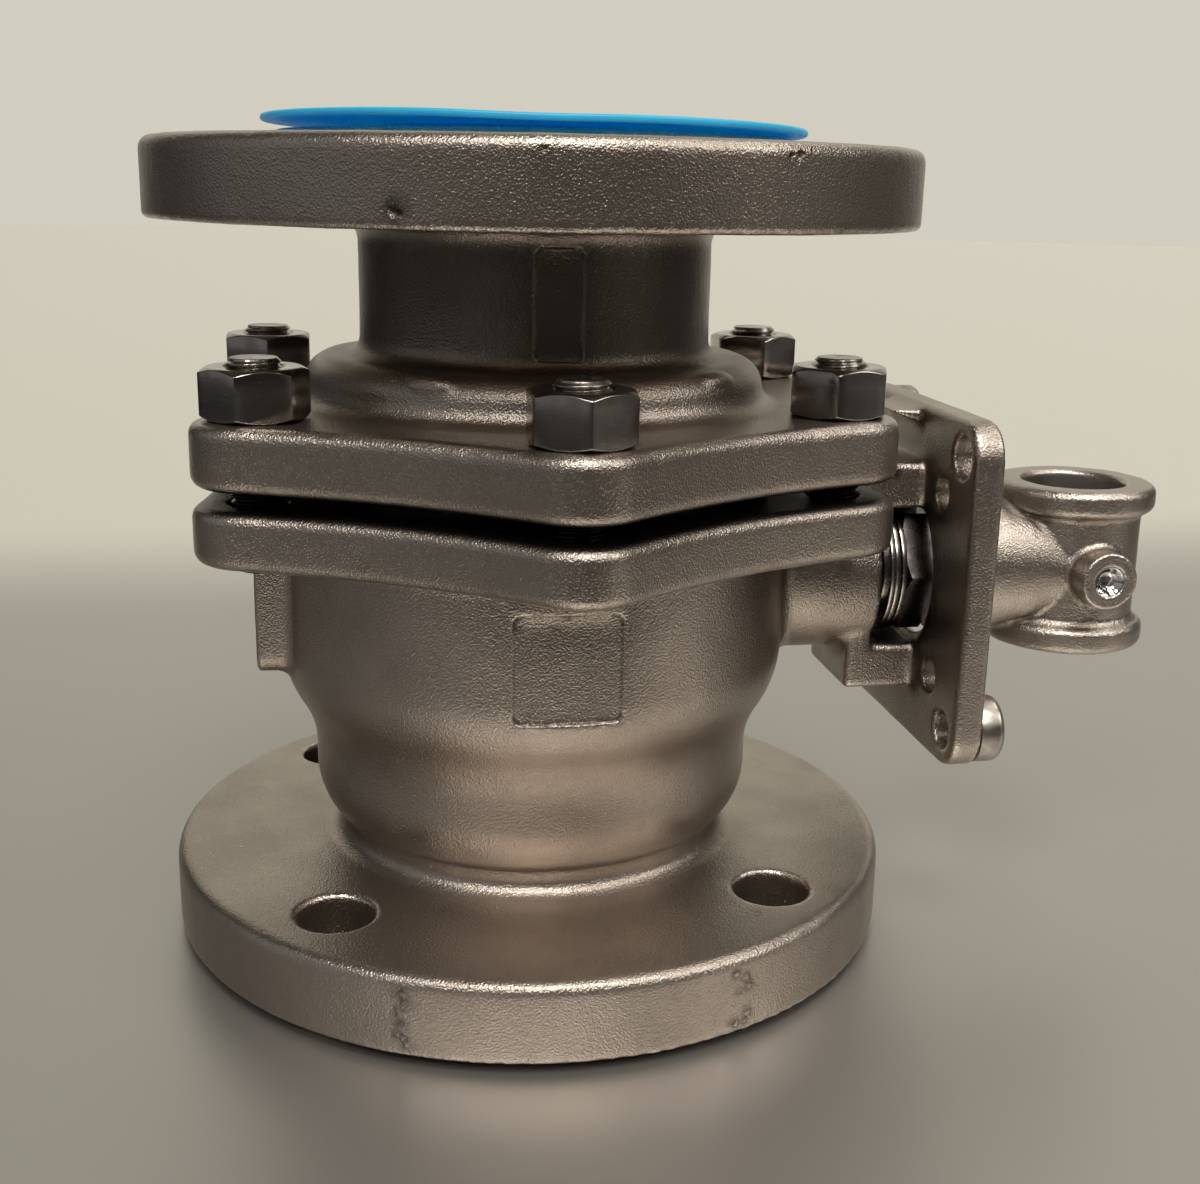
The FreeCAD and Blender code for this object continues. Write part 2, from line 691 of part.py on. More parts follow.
# Upper casting: register spigot, lobed flange, shoulder, neck and end flange
def upper_casting():
    body = new_body("end_cap")
    edge = size.flange_edge_round
    small = size.flange_small_round
    root = size.shoulder_root_round
    crown = size.shoulder_round
    shoulder_radius = size.shoulder_diameter / 2
    rim_top = size.face_to_face - size.raised_face_height
    inside_flange = cap_face + size.cap_flange_thickness / 2
    spigot_radius = register_radius - size.fit_gap
    sketch = new_sketch(body, "XZ_Plane")
    draw_outline(sketch, [
        (0, spigot_end), (spigot_radius, spigot_end), (spigot_radius, inside_flange),
        (shoulder_radius + root, inside_flange), (shoulder_radius + root, cap_flange_top),
        (shoulder_radius, cap_flange_top + root, -root), (shoulder_radius, shoulder_top - crown),
        (shoulder_radius - crown, shoulder_top, crown), (neck_radius + root / 2, shoulder_top),
        (neck_radius, shoulder_top + root / 2, -root / 2), (neck_radius, upper_flange_bottom - root),
        (neck_radius + root, upper_flange_bottom, -root), (flange_radius - small, upper_flange_bottom),
        (flange_radius, upper_flange_bottom + small, small), (flange_radius, rim_top - edge),
        (flange_radius - edge, rim_top, edge), (raised_face_radius, rim_top),
        (raised_face_radius, size.face_to_face), (0, size.face_to_face),
    ])
    turn(body, sketch)

    sketch = new_sketch(body, "XY_Plane", cap_face)
    draw_outline(sketch, lobed_outline())
    extrude(body, sketch, size.cap_flange_thickness)
    round_lobes(body, cap_face, cap_flange_top, shoulder_radius)

    sketch = new_sketch(body, "XY_Plane", cap_flange_top)
    draw_circle(sketch, *on_circle(size.stud_circle, FIRST_STUD_ANGLE), size.spot_face_diameter / 2)
    relief = extrude(body, sketch, size.shoulder_height, adds=False, backwards=True)
    repeat_round_bore(body, [relief], STUD_COUNT, adds=False)

    floor = ball_height + size.seat_floor
    sketch = new_sketch(body, "XZ_Plane")
    draw_outline(sketch, [
        (0, spigot_end), (cavity_radius, spigot_end), (pocket_radius, floor - size.seat_pocket_depth),
        (pocket_radius, floor), (bore_radius, floor), (bore_radius, size.face_to_face),
        (0, size.face_to_face),
    ])
    turn(body, sketch, adds=False)
    cut_flange_holes(body, upper_flange_bottom)
    cut_stud_holes(body, cap_face, size.cap_flange_thickness, size.stud_clearance_hole / 2)
    sink_panel(body, neck_radius, shoulder_top + size.neck_panel_above_shoulder,
               upper_flange_bottom - size.neck_panel_below_flange, size.neck_panel_half_width)
    return body


# Ball, seats and gasket
def valve_ball():
    body = new_body("ball", (0, 0, ball_height))
    half_bore_length = (ball_radius * ball_radius - bore_radius * bore_radius).root()
    sketch = new_sketch(body, "XZ_Plane")
    draw_outline(sketch, [(bore_radius, -half_bore_length), (bore_radius, half_bore_length, ball_radius)])
    turn(body, sketch)
    half_slot = size.ball_slot_width / 2
    sketch = new_sketch(body, "YZ_Plane", ball_radius)
    draw_outline(sketch, rectangle(-ball_radius, -half_slot, ball_radius, half_slot))
    extrude(body, sketch, ball_radius - size.ball_slot_floor, adds=False)
    return body


def seat(label, side):
    """A ring whose hollow face follows the ball; side is -1 below the ball and 1 above it."""
    inner = seat_bore_radius
    reach = ball_radius + size.ball_gap
    lip = seat_radius - size.seat_lip_width
    lip_height = (reach * reach - lip * lip).root() * side
    inner_height = (reach * reach - inner * inner).root() * side
    back = size.seat_floor * side
    return turned_body(label, [
        (inner, back), (seat_radius, back), (seat_radius, lip_height), (lip, lip_height),
        (inner, inner_height, reach * side),
    ], (0, 0, ball_height))


def body_gasket():
    outer = register_radius - size.fit_gap
    return turned_body("body_gasket", ring(size.gasket_inner_diameter / 2, outer,
                                           register_floor, spigot_end))


# Stem and its seals
def square_outline(flats, across):
    """A square with its corners cut by the round bar that it is milled from."""
    half = flats / 2
    reach = across / 2
    flat = (reach * reach - half * half).root()
    return [
        (half, flat), (flat, half, reach), (-flat, half), (-half, flat, reach),
        (-half, -flat), (-flat, -half, reach), (flat, -half), (half, -flat, reach),
    ]


def stem():
    collar_radius = size.stem_collar_diameter / 2
    collar_end = size.stem_collar_start + size.stem_collar_thickness
    body = turned_body("stem", [
        (0, size.stem_collar_start), (collar_radius, size.stem_collar_start),
        (collar_radius, collar_end), (stem_radius, collar_end),
        (stem_radius, size.stem_square_start), (0, size.stem_square_start),
    ], STEM_ORIGIN, STEM_TURN)
    half_length = size.stem_tang_length / 2
    half_width = size.stem_tang_width / 2
    tang_start = size.ball_slot_floor + size.ball_gap
    sketch = new_sketch(body, "XY_Plane", tang_start)
    draw_outline(sketch, rectangle(-half_length, -half_width, half_length, half_width))
    extrude(body, sketch, size.stem_collar_start - tang_start)
    sketch = new_sketch(body, "XY_Plane", size.stem_square_start)
    draw_outline(sketch, square_outline(size.stem_square, size.stem_diameter))
    extrude(body, sketch, size.stem_end - size.stem_square_start)
    return body


def thrust_washer():
    start = size.stem_collar_start + size.stem_collar_thickness
    return turned_body("stem_thrust_washer",
                       ring(stem_radius + size.fit_gap, size.stem_collar_diameter / 2, start, washer_seat),
                       STEM_ORIGIN, STEM_TURN)


def packing_rings():
    """Three chevron rings, each nested on the one before with a hair of slack."""
    body = new_body("packing_rings", STEM_ORIGIN, STEM_TURN)
    inner = stem_radius + size.fit_gap
    outer = chamber_radius - size.fit_gap
    middle = (inner + outer) / 2
    slack = size.fit_gap / 2
    sketch = new_sketch(body, "XZ_Plane")
    for step in range(PACKING_RINGS):
        low = size.packing_floor + size.packing_ring_height * step
        high = low + size.packing_ring_height - slack
        draw_outline(sketch, [
            (inner, low), (middle, low + size.chevron_rise), (outer, low), (outer, high),
            (middle, high + size.chevron_rise), (inner, high),
        ])
    turn(body, sketch)
    return body


def gland_follower():
    inner = stem_radius + size.fit_gap
    outer = chamber_radius - size.fit_gap
    middle = (inner + outer) / 2
    start = size.packing_floor + size.packing_ring_height * PACKING_RINGS
    shoulder = size.stem_neck_end - size.fit_gap
    return turned_body("gland_follower", [
        (inner, start), (middle, start + size.chevron_rise), (outer, start), (outer, shoulder),
        (middle, shoulder), (middle, size.gland_end), (inner, size.gland_end),
    ], STEM_ORIGIN, STEM_TURN)


def spring_washers():
    """Two dished washers stacked rim to rim between the gland follower and the lock washer."""
    body = new_body("spring_washers", STEM_ORIGIN, STEM_TURN)
    inner = stem_radius + size.fit_gap
    outer = leg_inner_offset - size.spring_washer_leg_gap
    thickness, dish, slack = size.spring_washer_thickness, size.spring_washer_dish, size.fit_gap / 4
    sketch = new_sketch(body, "XZ_Plane")
    for side in (-1, 1):
        draw_outline(sketch, [
            (inner, spring_washer_middle + (dish + slack) * side),
            (outer, spring_washer_middle + slack * side),
            (outer, spring_washer_middle + thickness * side),
            (inner, spring_washer_middle + (thickness + dish) * side),
        ])
    turn(body, sketch)
    return body


def lock_washer():
    """A flat washer with one tab bent up against a flat of the stem nut."""
    near = size.stem_nut_flats / 2 + size.fit_gap
    far = near + size.lock_washer_thickness
    body = turned_body("lock_washer", ring(stem_radius + size.fit_gap, far + size.lock_washer_rim,
                                           lock_washer_start, stem_nut_start), STEM_ORIGIN, STEM_TURN)
    half_tab = size.lock_tab_width / 2
    sketch = new_sketch(body, "XY_Plane", lock_washer_start)
    draw_outline(sketch, rectangle(-half_tab, near, half_tab, far))
    extrude(body, sketch, size.lock_tab_length)
    return body


def hex_nut(body, flats, height, base, bore, distance=0):
    """A chamfered hexagon nut on an axis that stands at a distance from the body's own."""
    corner = flats / math.sqrt(3)
    fall = (corner - flats / 2) * NUT_BEVEL_SLOPE
    sketch = new_sketch(body, "XY_Plane", base)
    draw_outline(sketch, hexagon(flats, distance))
    features = [extrude(body, sketch, height)]
    sketch = new_sketch(body, "XZ_Plane")
    sketch.setExpression("AttachmentOffset.Base.x", formula(distance))
    for level, inward in ((base, fall), (base + height, -fall)):
        draw_outline(sketch, [(flats / 2, level), (corner, level + inward), (corner, level)])
    features.append(turn(body, sketch, adds=False))
    sketch = new_sketch(body, "XY_Plane", base)
    draw_circle(sketch, distance, 0, bore)
    features.append(extrude(body, sketch, height, adds=False, backwards=True))
    return features


def stem_nut():
    """One of its flats faces up the bore, where the lock washer's tab lies on it."""
    body = new_body("stem_nut", STEM_ORIGIN, STEM_TURN)
    hex_nut(body, size.stem_nut_flats, size.stem_nut_height, stem_nut_start,
            stem_radius + size.fit_gap / 2)
    return body


# Fasteners of the split joint
def turn_aside(body, path, distance):
    """Turns a half section about an upright axis that stands at a distance from the body's own."""
    sketch = new_sketch(body, "XZ_Plane")
    sketch.setExpression("AttachmentOffset.Base.x", formula(distance))
    draw_outline(sketch, path)
    return turn(body, sketch)


def studs():
    radius = size.stud_diameter / 2
    chamfer = size.stud_end_chamfer
    bottom = joint_flange_bottom - size.stud_tail
    top = cap_flange_top + size.stud_nut_height + size.stud_tip
    body = new_body("studs", rotation=STUD_TURN)
    bar = turn_aside(body, [
        (0, bottom), (radius - chamfer, bottom), (radius, bottom + chamfer),
        (radius, top - chamfer), (radius - chamfer, top), (0, top),
    ], size.stud_circle / 2)
    repeat_round_bore(body, [bar], STUD_COUNT)
    return body


def stud_nuts():
    body = new_body("stud_nuts", rotation=STUD_TURN)
    features = hex_nut(body, size.stud_nut_flats, size.stud_nut_height, cap_flange_top,
                       size.stud_diameter / 2 + size.fit_gap / 2, size.stud_circle / 2)
    repeat_round_bore(body, features, STUD_COUNT)
    return body


# Travel stop
def stop_plate():
    """A plate on the stem's square whose broad arm swings between the heads of two screws."""
    hub = size.stop_plate_hub_diameter / 2
    reach = size.stop_plate_reach
    share = (size.stop_screw_head_diameter / 2 + size.stop_gap) / (size.large_pad_bolt_circle / 2)
    slope = (1 - share * share).root()
    cosine = (slope + share) * corner_share
    sine = (slope - share) * corner_share
    body = new_body("stop_plate", STEM_ORIGIN, STEM_TURN)
    sketch = new_sketch(body, "XY_Plane", size.stem_square_start)
    draw_outline(sketch, [
        (reach * cosine, -reach * sine), (reach * cosine, reach * sine, reach),
        (hub * cosine, hub * sine), (-hub, 0, hub), (hub * cosine, -hub * sine, hub),
    ])
    extrude(body, sketch, size.stop_plate_thickness)
    half = size.stem_square / 2 + size.fit_gap
    sketch = new_sketch(body, "XY_Plane", size.stem_square_start)
    draw_outline(sketch, rectangle(-half, -half, half, half))
    extrude(body, sketch, size.stop_plate_thickness, adds=False, backwards=True)
    return body


def stop_screws():
    head = size.stop_screw_head_diameter / 2
    crown = size.stop_screw_head_round
    head_top = pad_face + size.stop_screw_head_height
    shank = size.stop_screw_diameter / 2
    tip = size.pad_start + size.stop_screw_tip_inset
    distance = size.large_pad_bolt_circle / 2
    towards_corner = FreeCAD.Rotation(FreeCAD.Vector(0, 0, 1), 45)
    body = new_body("stop_screws", STEM_ORIGIN, STEM_TURN.multiply(towards_corner))
    bar = turn_aside(body, [
        (0, tip), (shank, tip), (shank, pad_face), (head, pad_face),
        (head, head_top - crown), (head - crown, head_top, crown), (0, head_top),
    ], distance)
    sketch = new_sketch(body, "XY_Plane", head_top)
    draw_outline(sketch, hexagon(size.stop_screw_socket, distance))
    socket = extrude(body, sketch, size.stop_screw_socket_depth, adds=False)
    repeat_round_bore(body, [bar, socket], 2)
    return body


# Head that takes a loose pipe lever
def lever_head():
    body = new_body("lever_head", (size.lever_tube_distance, 0, ball_height))
    low = -size.lever_reach_down
    high = size.lever_reach_up
    tube = size.lever_tube_diameter / 2
    rim = size.lever_rim_diameter / 2
    bead = size.lever_rim_round
    band = size.lever_rim_height
    sketch = new_sketch(body, "XZ_Plane")
    draw_outline(sketch, [
        (0, low), (rim - bead, low), (rim, low + bead, bead), (rim, low + band - bead),
        (rim - bead, low + band, bead), (tube, low + band), (tube, high - band),
        (rim - bead, high - band), (rim, high - band + bead, bead), (rim, high - bead),
        (rim - bead, high, bead), (0, high),
    ])
    turn(body, sketch)
    hub_length = size.lever_tube_distance - size.lever_hub_start
    sketch = new_sketch(body, "YZ_Plane", -hub_length)
    draw_circle(sketch, 0, 0, size.lever_hub_diameter / 2)
    extrude(body, sketch, hub_length)
    sketch = new_sketch(body, "XZ_Plane")
    draw_circle(sketch, 0, 0, size.lever_boss_diameter / 2)
    extrude(body, sketch, size.lever_boss_reach)

    chamfer = size.lever_bore_chamfer
    mouth = lever_bore_radius + chamfer
    sketch = new_sketch(body, "XZ_Plane")
    draw_outline(sketch, [
        (0, low), (mouth, low), (lever_bore_radius, low + chamfer),
        (lever_bore_radius, high - chamfer), (mouth, high), (0, high),
    ])
    turn(body, sketch, adds=False)
    half_square = size.stem_square / 2 + size.fit_gap
    sketch = new_sketch(body, "YZ_Plane", -hub_length)
    draw_outline(sketch, rectangle(-half_square, -half_square, half_square, half_square))
    extrude(body, sketch, hub_length, adds=False, backwards=True)
    sketch = new_sketch(body, "XZ_Plane")
    draw_circle(sketch, 0, 0, lever_screw_radius + size.fit_gap / 2)
    extrude(body, sketch, size.lever_boss_reach, adds=False, backwards=True)
    sketch = new_sketch(body, "XZ_Plane")
    draw_circle(sketch, size.hub_screw_distance - size.lever_tube_distance, 0,
                lever_screw_radius + size.fit_gap / 2)
    extrude(body, sketch, size.lever_hub_diameter / 2, adds=False)
    return body


def set_screw(label, start, end, distance, turn_angle):
    """A set screw across the lever head, from its tip at start to its dished socket at end."""
    facing = FreeCAD.Rotation(FreeCAD.Vector(1, 0, 0), turn_angle)
    chamfer = size.lever_screw_chamfer
    body = turned_body(label, [
        (0, start), (lever_screw_radius - chamfer, start), (lever_screw_radius, start + chamfer),
        (lever_screw_radius, end), (size.lever_screw_socket / math.sqrt(3), end - size.lever_screw_dish),
        (0, end - size.lever_screw_dish),
    ], (distance, 0, ball_height), facing)
    sketch = new_sketch(body, "XY_Plane", end)
    draw_outline(sketch, hexagon(size.lever_screw_socket))
    extrude(body, sketch, lever_screw_radius, adds=False)
    return body


# Protective cover pushed into the upper flange
def flange_cover():
    """A disc with a hollow plug; it sits askew, so that one side stands proud of the raised face."""
    plug = size.cover_plug_diameter / 2
    inside = plug - size.cover_plug_wall
    edge = raised_face_radius + size.cover_overhang
    crown = size.cover_edge_round
    tilt = math.degrees(math.asin(number(size.cover_lift / raised_face_radius / 2)))
    hinge_line = FreeCAD.Vector(math.sin(COVER_HIGH_SIDE), -math.cos(COVER_HIGH_SIDE), 0)
    return turned_body("flange_cover", [
        (0, 0), (inside, 0), (inside, -size.cover_plug_depth), (plug, -size.cover_plug_depth),
        (plug, 0), (edge - crown, 0), (edge, crown, crown), (edge, size.cover_thickness - crown),
        (edge - crown, size.cover_thickness, crown), (0, size.cover_thickness),
    ], (0, 0, size.face_to_face + size.cover_lift / 2), FreeCAD.Rotation(hinge_line, tilt))


pieces = [
    lower_casting(),
    upper_casting(),
    valve_ball(),
    seat("lower_seat", -1),
    seat("upper_seat", 1),
    body_gasket(),
    stem(),
    thrust_washer(),
    packing_rings(),
    gland_follower(),
    spring_washers(),
    lock_washer(),
    stem_nut(),
    studs(),
    stud_nuts(),
    stop_plate(),
    stop_screws(),
    lever_head(),
    set_screw("lever_set_screw", lever_bore_radius, size.lever_boss_reach - size.lever_screw_recess,
              size.lever_tube_distance, 90),
    set_screw("hub_set_screw", size.stem_square / 2, hub_screw_end, size.hub_screw_distance, -90),
    flange_cover(),
]

doc.recompute()
failed = [item.Label for item in doc.Objects if {"Invalid", "Error"} & set(item.State)]
if failed:
    raise RuntimeError(f"These objects failed: {failed}")
for piece in pieces:
    if piece.Shape.isNull() or not piece.Shape.isValid():
        raise RuntimeError(f"{piece.Label} has no sound shape")
for piece in pieces:
    piece.Shape.exportStep(f"parts/{piece.Label}.step")
    print(piece.Label, len(piece.Shape.Solids), "solids,", round(piece.Shape.Volume), "cubic mm")
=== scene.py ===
"""Finish of the flanged ball valve: castings, threads, nuts, plating, plastic cover, light and camera."""
import math
from contextlib import contextmanager

import bmesh
import bpy
import numpy as np
from mathutils import Matrix, Vector


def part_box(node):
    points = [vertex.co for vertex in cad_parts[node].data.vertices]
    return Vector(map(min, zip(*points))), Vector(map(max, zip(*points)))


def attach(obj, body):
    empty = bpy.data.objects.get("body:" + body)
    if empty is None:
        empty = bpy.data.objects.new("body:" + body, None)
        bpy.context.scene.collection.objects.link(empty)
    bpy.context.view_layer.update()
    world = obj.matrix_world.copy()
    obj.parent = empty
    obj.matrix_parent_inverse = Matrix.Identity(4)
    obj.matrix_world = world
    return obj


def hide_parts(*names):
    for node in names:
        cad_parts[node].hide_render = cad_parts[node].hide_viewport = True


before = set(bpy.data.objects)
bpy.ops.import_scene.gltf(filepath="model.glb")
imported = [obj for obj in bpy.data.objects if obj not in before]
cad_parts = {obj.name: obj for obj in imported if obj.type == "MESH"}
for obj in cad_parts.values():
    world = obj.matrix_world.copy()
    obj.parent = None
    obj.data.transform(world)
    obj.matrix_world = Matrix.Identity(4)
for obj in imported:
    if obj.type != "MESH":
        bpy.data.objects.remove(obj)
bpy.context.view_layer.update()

MM = 0.001
FLOAT = "NodeSocketFloat"

# Sizes of the valve in millimetres
BORE_WALL, BORE_TOP = 39.2, 60.0
FLANGE_RIM = 95.2
STEM_HEIGHT = 91.5
JOINT_FACE, CAP_FACE = 119.8, 123.9
JOINT_INNER_RADIUS, CAP_JOINT_INNER_RADIUS, JOINT_END = 62.0, 61.6, 95.0
CHAMBER_RADIUS = 64.0
NECK_BOTTOM, NECK_TOP, NECK_RADIUS = 141.0, 182.0, 60.0
UPPER_FACE = 203.2
LOWER_STEP, UPPER_STEP = 3.0, UPPER_FACE - 3.2
STUD_CIRCLE_RADIUS, STUD_RADIUS = 79.3, 6.35
STUD_COUNT, FIRST_STUD = 6, 30.0
WINDOW_START, WINDOW_END, WINDOW_HALF_HEIGHT = 89.6, 104.2, 19.7
PAD_BACK, PAD_FRONT, PAD_BORE_RADIUS = 103.2, 110.8, 22.4
LIP_START, LIP_END, LIP_HEIGHT = 104.6, 110.6, 3.1
LEVER_TUBE_X, LEVER_TUBE_BORE = 152.3, 14.6
NUT_FLATS, NUT_BORE_RADIUS = 22.2, 6.2
COVER_MIDDLE = UPPER_FACE + 1.05
COVER_TILT, COVER_HIGH_SIDE = math.asin(2.1 / 127), math.radians(-145)


# Node building
def add_node(tree, kind, inputs=None, **settings):
    """One node of a tree with its settings; inputs maps socket names or numbers to values or sockets."""
    node = tree.nodes.new(kind)
    for name, value in settings.items():
        setattr(node, name, value)
    for key, value in (inputs or {}).items():
        socket = node.inputs[key]
        if isinstance(value, bpy.types.NodeSocket):
            tree.links.new(value, socket)
        else:
            socket.default_value = value
    return node


def sum_of(tree, operation, *values):
    """A Math node's result."""
    return add_node(tree, "ShaderNodeMath", dict(enumerate(values)), operation=operation).outputs[0]


def times(tree, first, second):
    return sum_of(tree, "MULTIPLY", first, second)


def plus(tree, first, second):
    return sum_of(tree, "ADD", first, second)


def blend_colours(tree, share, first, second):
    """The first colour turned towards the second by a share."""
    node = add_node(tree, "ShaderNodeMix", data_type="RGBA")
    for index, value in ((0, share), (6, first), (7, second)):
        if isinstance(value, bpy.types.NodeSocket):
            tree.links.new(value, node.inputs[index])
        else:
            node.inputs[index].default_value = value
    return node.outputs[2]


def stain(tree, colour, layers):
    """Lays colours over another; each layer is (mask, strength, (red, green, blue))."""
    for mask, strength, shade in layers:
        colour = blend_colours(tree, times(tree, mask, strength), colour, (*shade, 1))
    return colour


def ease(tree, value, low, high, to_low=0.0, to_high=1.0):
    """Maps a value from one range to another with soft ends."""
    return add_node(tree, "ShaderNodeMapRange", {0: value, 1: low, 2: high, 3: to_low, 4: to_high},
                    interpolation_type="SMOOTHSTEP").outputs[0]


def object_place(tree):
    """Object coordinates in millimetres, so that every pattern's scale reads as a size on the part."""
    place = add_node(tree, "ShaderNodeTexCoord").outputs["Object"]
    return stretched(tree, place, (1000, 1000, 1000))


def stretched(tree, place, scale, turn=(0, 0, 0)):
    return add_node(tree, "ShaderNodeMapping", {
        "Vector": place, "Scale": scale, "Rotation": turn}).outputs[0]


def mask_of(tree, name):
    """A mask that the piece's mesh carries."""
    return add_node(tree, "ShaderNodeAttribute", attribute_name=name).outputs["Fac"]


def noise(tree, place, size, detail=3.0, roughness=0.55, seed=0.0):
    """Cloudy noise from 0 to 1 whose lumps are about size millimetres across."""
    return add_node(tree, "ShaderNodeTexNoise", {
        "Vector": place, "W": seed, "Scale": 1.0 / size, "Detail": detail, "Roughness": roughness},
        noise_dimensions="4D").outputs[0]


def new_group(name, inputs, outputs, kind="ShaderNodeTree"):
    """An empty group with named sockets; each input is (name, kind, default)."""
    tree = bpy.data.node_groups.new(name, kind)
    for label, socket_kind, default in inputs:
        socket = tree.interface.new_socket(name=label, in_out="INPUT", socket_type=socket_kind)
        if default is not None:
            socket.default_value = default
    for label, socket_kind in outputs:
        tree.interface.new_socket(name=label, in_out="OUTPUT", socket_type=socket_kind)
    return tree, tree.nodes.new("NodeGroupInput").outputs, tree.nodes.new("NodeGroupOutput").inputs


def wear_and_hollow_shade_group():
    """Rubbed edges, and painted shade with dirt in the corners, from the two masks that each piece's mesh
    carries.
    """
    tree, given, result = new_group("wear_and_hollow_shade", (("Wear", FLOAT, 1.0),),
                                    (("Rubbed", FLOAT), ("Hollow Shade And Dirt", FLOAT)))
    place = object_place(tree)
    patches = noise(tree, place, 3.5, 4.0, 0.65, 2.0)
    broken = times(tree, mask_of(tree, "edge"), ease(tree, patches, 0.3, 0.62, 0.25, 1.0))
    tree.links.new(times(tree, broken, given["Wear"]), result["Rubbed"])
    # painted shade: hollow corners are darkened, partly for dirt and partly for the shade that falls there
    cloud = noise(tree, place, 9.0, 3.0, 0.6, 5.0)
    hollow_shade_and_dirt = times(tree, mask_of(tree, "hollow"), ease(tree, cloud, 0.25, 0.7, 0.35, 1.0))
    tree.links.new(hollow_shade_and_dirt, result["Hollow Shade And Dirt"])
    return tree


def blasted_grain_group():
    """The fine pebbled skin of a blasted casting: height, painted glints and slow changes of tone."""
    tree, given, result = new_group("blasted_grain", (("Grain Size", FLOAT, 0.5),),
                                    (("Height", FLOAT), ("Painted Glints", FLOAT), ("Tone", FLOAT)))
    place = object_place(tree)
    smaller = add_node(tree, "ShaderNodeVectorMath", {0: place}, operation="SCALE")
    tree.links.new(sum_of(tree, "DIVIDE", 1.0, given["Grain Size"]), smaller.inputs["Scale"])
    dents = add_node(tree, "ShaderNodeTexVoronoi", {"Vector": smaller.outputs[0], "Scale": 1.0},
                     feature="SMOOTH_F1").outputs["Distance"]
    pebbles = noise(tree, smaller.outputs[0], 1.4, 2.0, 0.5, 1.0)
    swells = noise(tree, place, 3.2, 3.0, 0.6, 3.0)
    height = plus(tree, times(tree, dents, 0.6), plus(tree, times(tree, pebbles, 0.7),
                                                      times(tree, swells, 0.12)))
    tree.links.new(height, result["Height"])
    # painted glints: bright specks in the colour stand in for sparkles of light
    sparks = noise(tree, place, 0.42, 1.0, 0.5, 8.0)
    tree.links.new(ease(tree, sparks, 0.62, 0.78), result["Painted Glints"])
    tree.links.new(noise(tree, place, 26.0, 4.0, 0.55, 4.0), result["Tone"])
    return tree


def stains_group():
    """Soft brown smudges, pale water marks and a few short bright scratches."""
    tree, _, result = new_group("stains", (), (("Smudge", FLOAT), ("Pale", FLOAT), ("Scratch", FLOAT)))
    place = object_place(tree)
    wide = ease(tree, noise(tree, place, 20.0, 5.0, 0.6, 11.0), 0.55, 0.76)
    speckle = ease(tree, noise(tree, place, 2.4, 4.0, 0.7, 12.0), 0.35, 0.7)
    tree.links.new(times(tree, wide, speckle), result["Smudge"])
    tree.links.new(ease(tree, noise(tree, place, 14.0, 3.0, 0.5, 15.0), 0.56, 0.78), result["Pale"])
    streaked = stretched(tree, place, (0.12, 0.12, 2.6), (0.35, 0.5, 0.15))
    lines = ease(tree, noise(tree, streaked, 0.9, 1.0, 0.4, 17.0), 0.74, 0.8)
    rare = ease(tree, noise(tree, place, 11.0, 1.0, 0.4, 18.0), 0.62, 0.68)
    tree.links.new(times(tree, lines, rare), result["Scratch"])
    return tree


def place_group(tree, group, inputs=None):
    node = tree.nodes.new("ShaderNodeGroup")
    node.node_tree = group
    for name, value in (inputs or {}).items():
        node.inputs[name].default_value = value
    return node.outputs


def new_finish(name, **shader_values):
    """A material with one Principled shader whose plain numbers are set on its own sockets."""
    finish = bpy.data.materials.new(name)
    finish.use_nodes = True
    shader = finish.node_tree.nodes["Principled BSDF"]
    for socket, value in shader_values.items():
        shader.inputs[socket.replace("_", " ")].default_value = value
    return finish, finish.node_tree, shader.inputs


def raise_bumps(tree, sockets, height, distance, strength):
    """Relief whose full height is distance millimetres."""
    bump = add_node(tree, "ShaderNodeBump", {
        "Height": height, "Distance": distance * MM, "Strength": strength})
    tree.links.new(bump.outputs[0], sockets["Normal"])


WEAR_AND_HOLLOW_SHADE = wear_and_hollow_shade_group()
BLASTED_GRAIN = blasted_grain_group()
STAINS = stains_group()


def cast_steel(name, light, dark, grain, wear):
    """Investment cast stainless steel, bead blasted: warm satin grey, worn bright edges, painted glints and
    painted shade.
    """
    finish, tree, sockets = new_finish(name, Metallic=1.0)
    skin = place_group(tree, BLASTED_GRAIN, {"Grain Size": grain})
    worn_and_shaded = place_group(tree, WEAR_AND_HOLLOW_SHADE, {"Wear": wear})
    marks = place_group(tree, STAINS)
    colour = blend_colours(tree, ease(tree, skin["Tone"], 0.3, 0.7), dark, light)
    colour = stain(tree, colour, (
        (marks["Pale"], 0.2, (0.6, 0.52, 0.44)),
        (marks["Smudge"], 0.45, (0.17, 0.12, 0.08)),
        # painted glints
        (skin["Painted Glints"], 0.4, (0.88, 0.83, 0.76)),
        # painted shade with some dirt in hollow corners
        (worn_and_shaded["Hollow Shade And Dirt"], 0.75, (0.085, 0.068, 0.052)),
        (worn_and_shaded["Rubbed"], 0.65, (0.72, 0.66, 0.58)),
        (marks["Scratch"], 0.8, (0.9, 0.87, 0.82)),
        # painted shade in gaps, the gland's window and under the upper flange, with stains and grease
        (mask_of(tree, "grime_and_shade"), 0.9, (0.035, 0.027, 0.02)),
    ))
    tree.links.new(colour, sockets["Base Color"])
    rough = ease(tree, skin["Tone"], 0.3, 0.7, 0.37, 0.31)
    rough = sum_of(tree, "SUBTRACT", rough, times(tree, worn_and_shaded["Rubbed"], 0.08))
    rough = plus(tree, rough, times(tree, worn_and_shaded["Hollow Shade And Dirt"], 0.2))
    tree.links.new(rough, sockets["Roughness"])
    raise_bumps(tree, sockets, skin["Height"], 0.18, 1.0)
    return finish


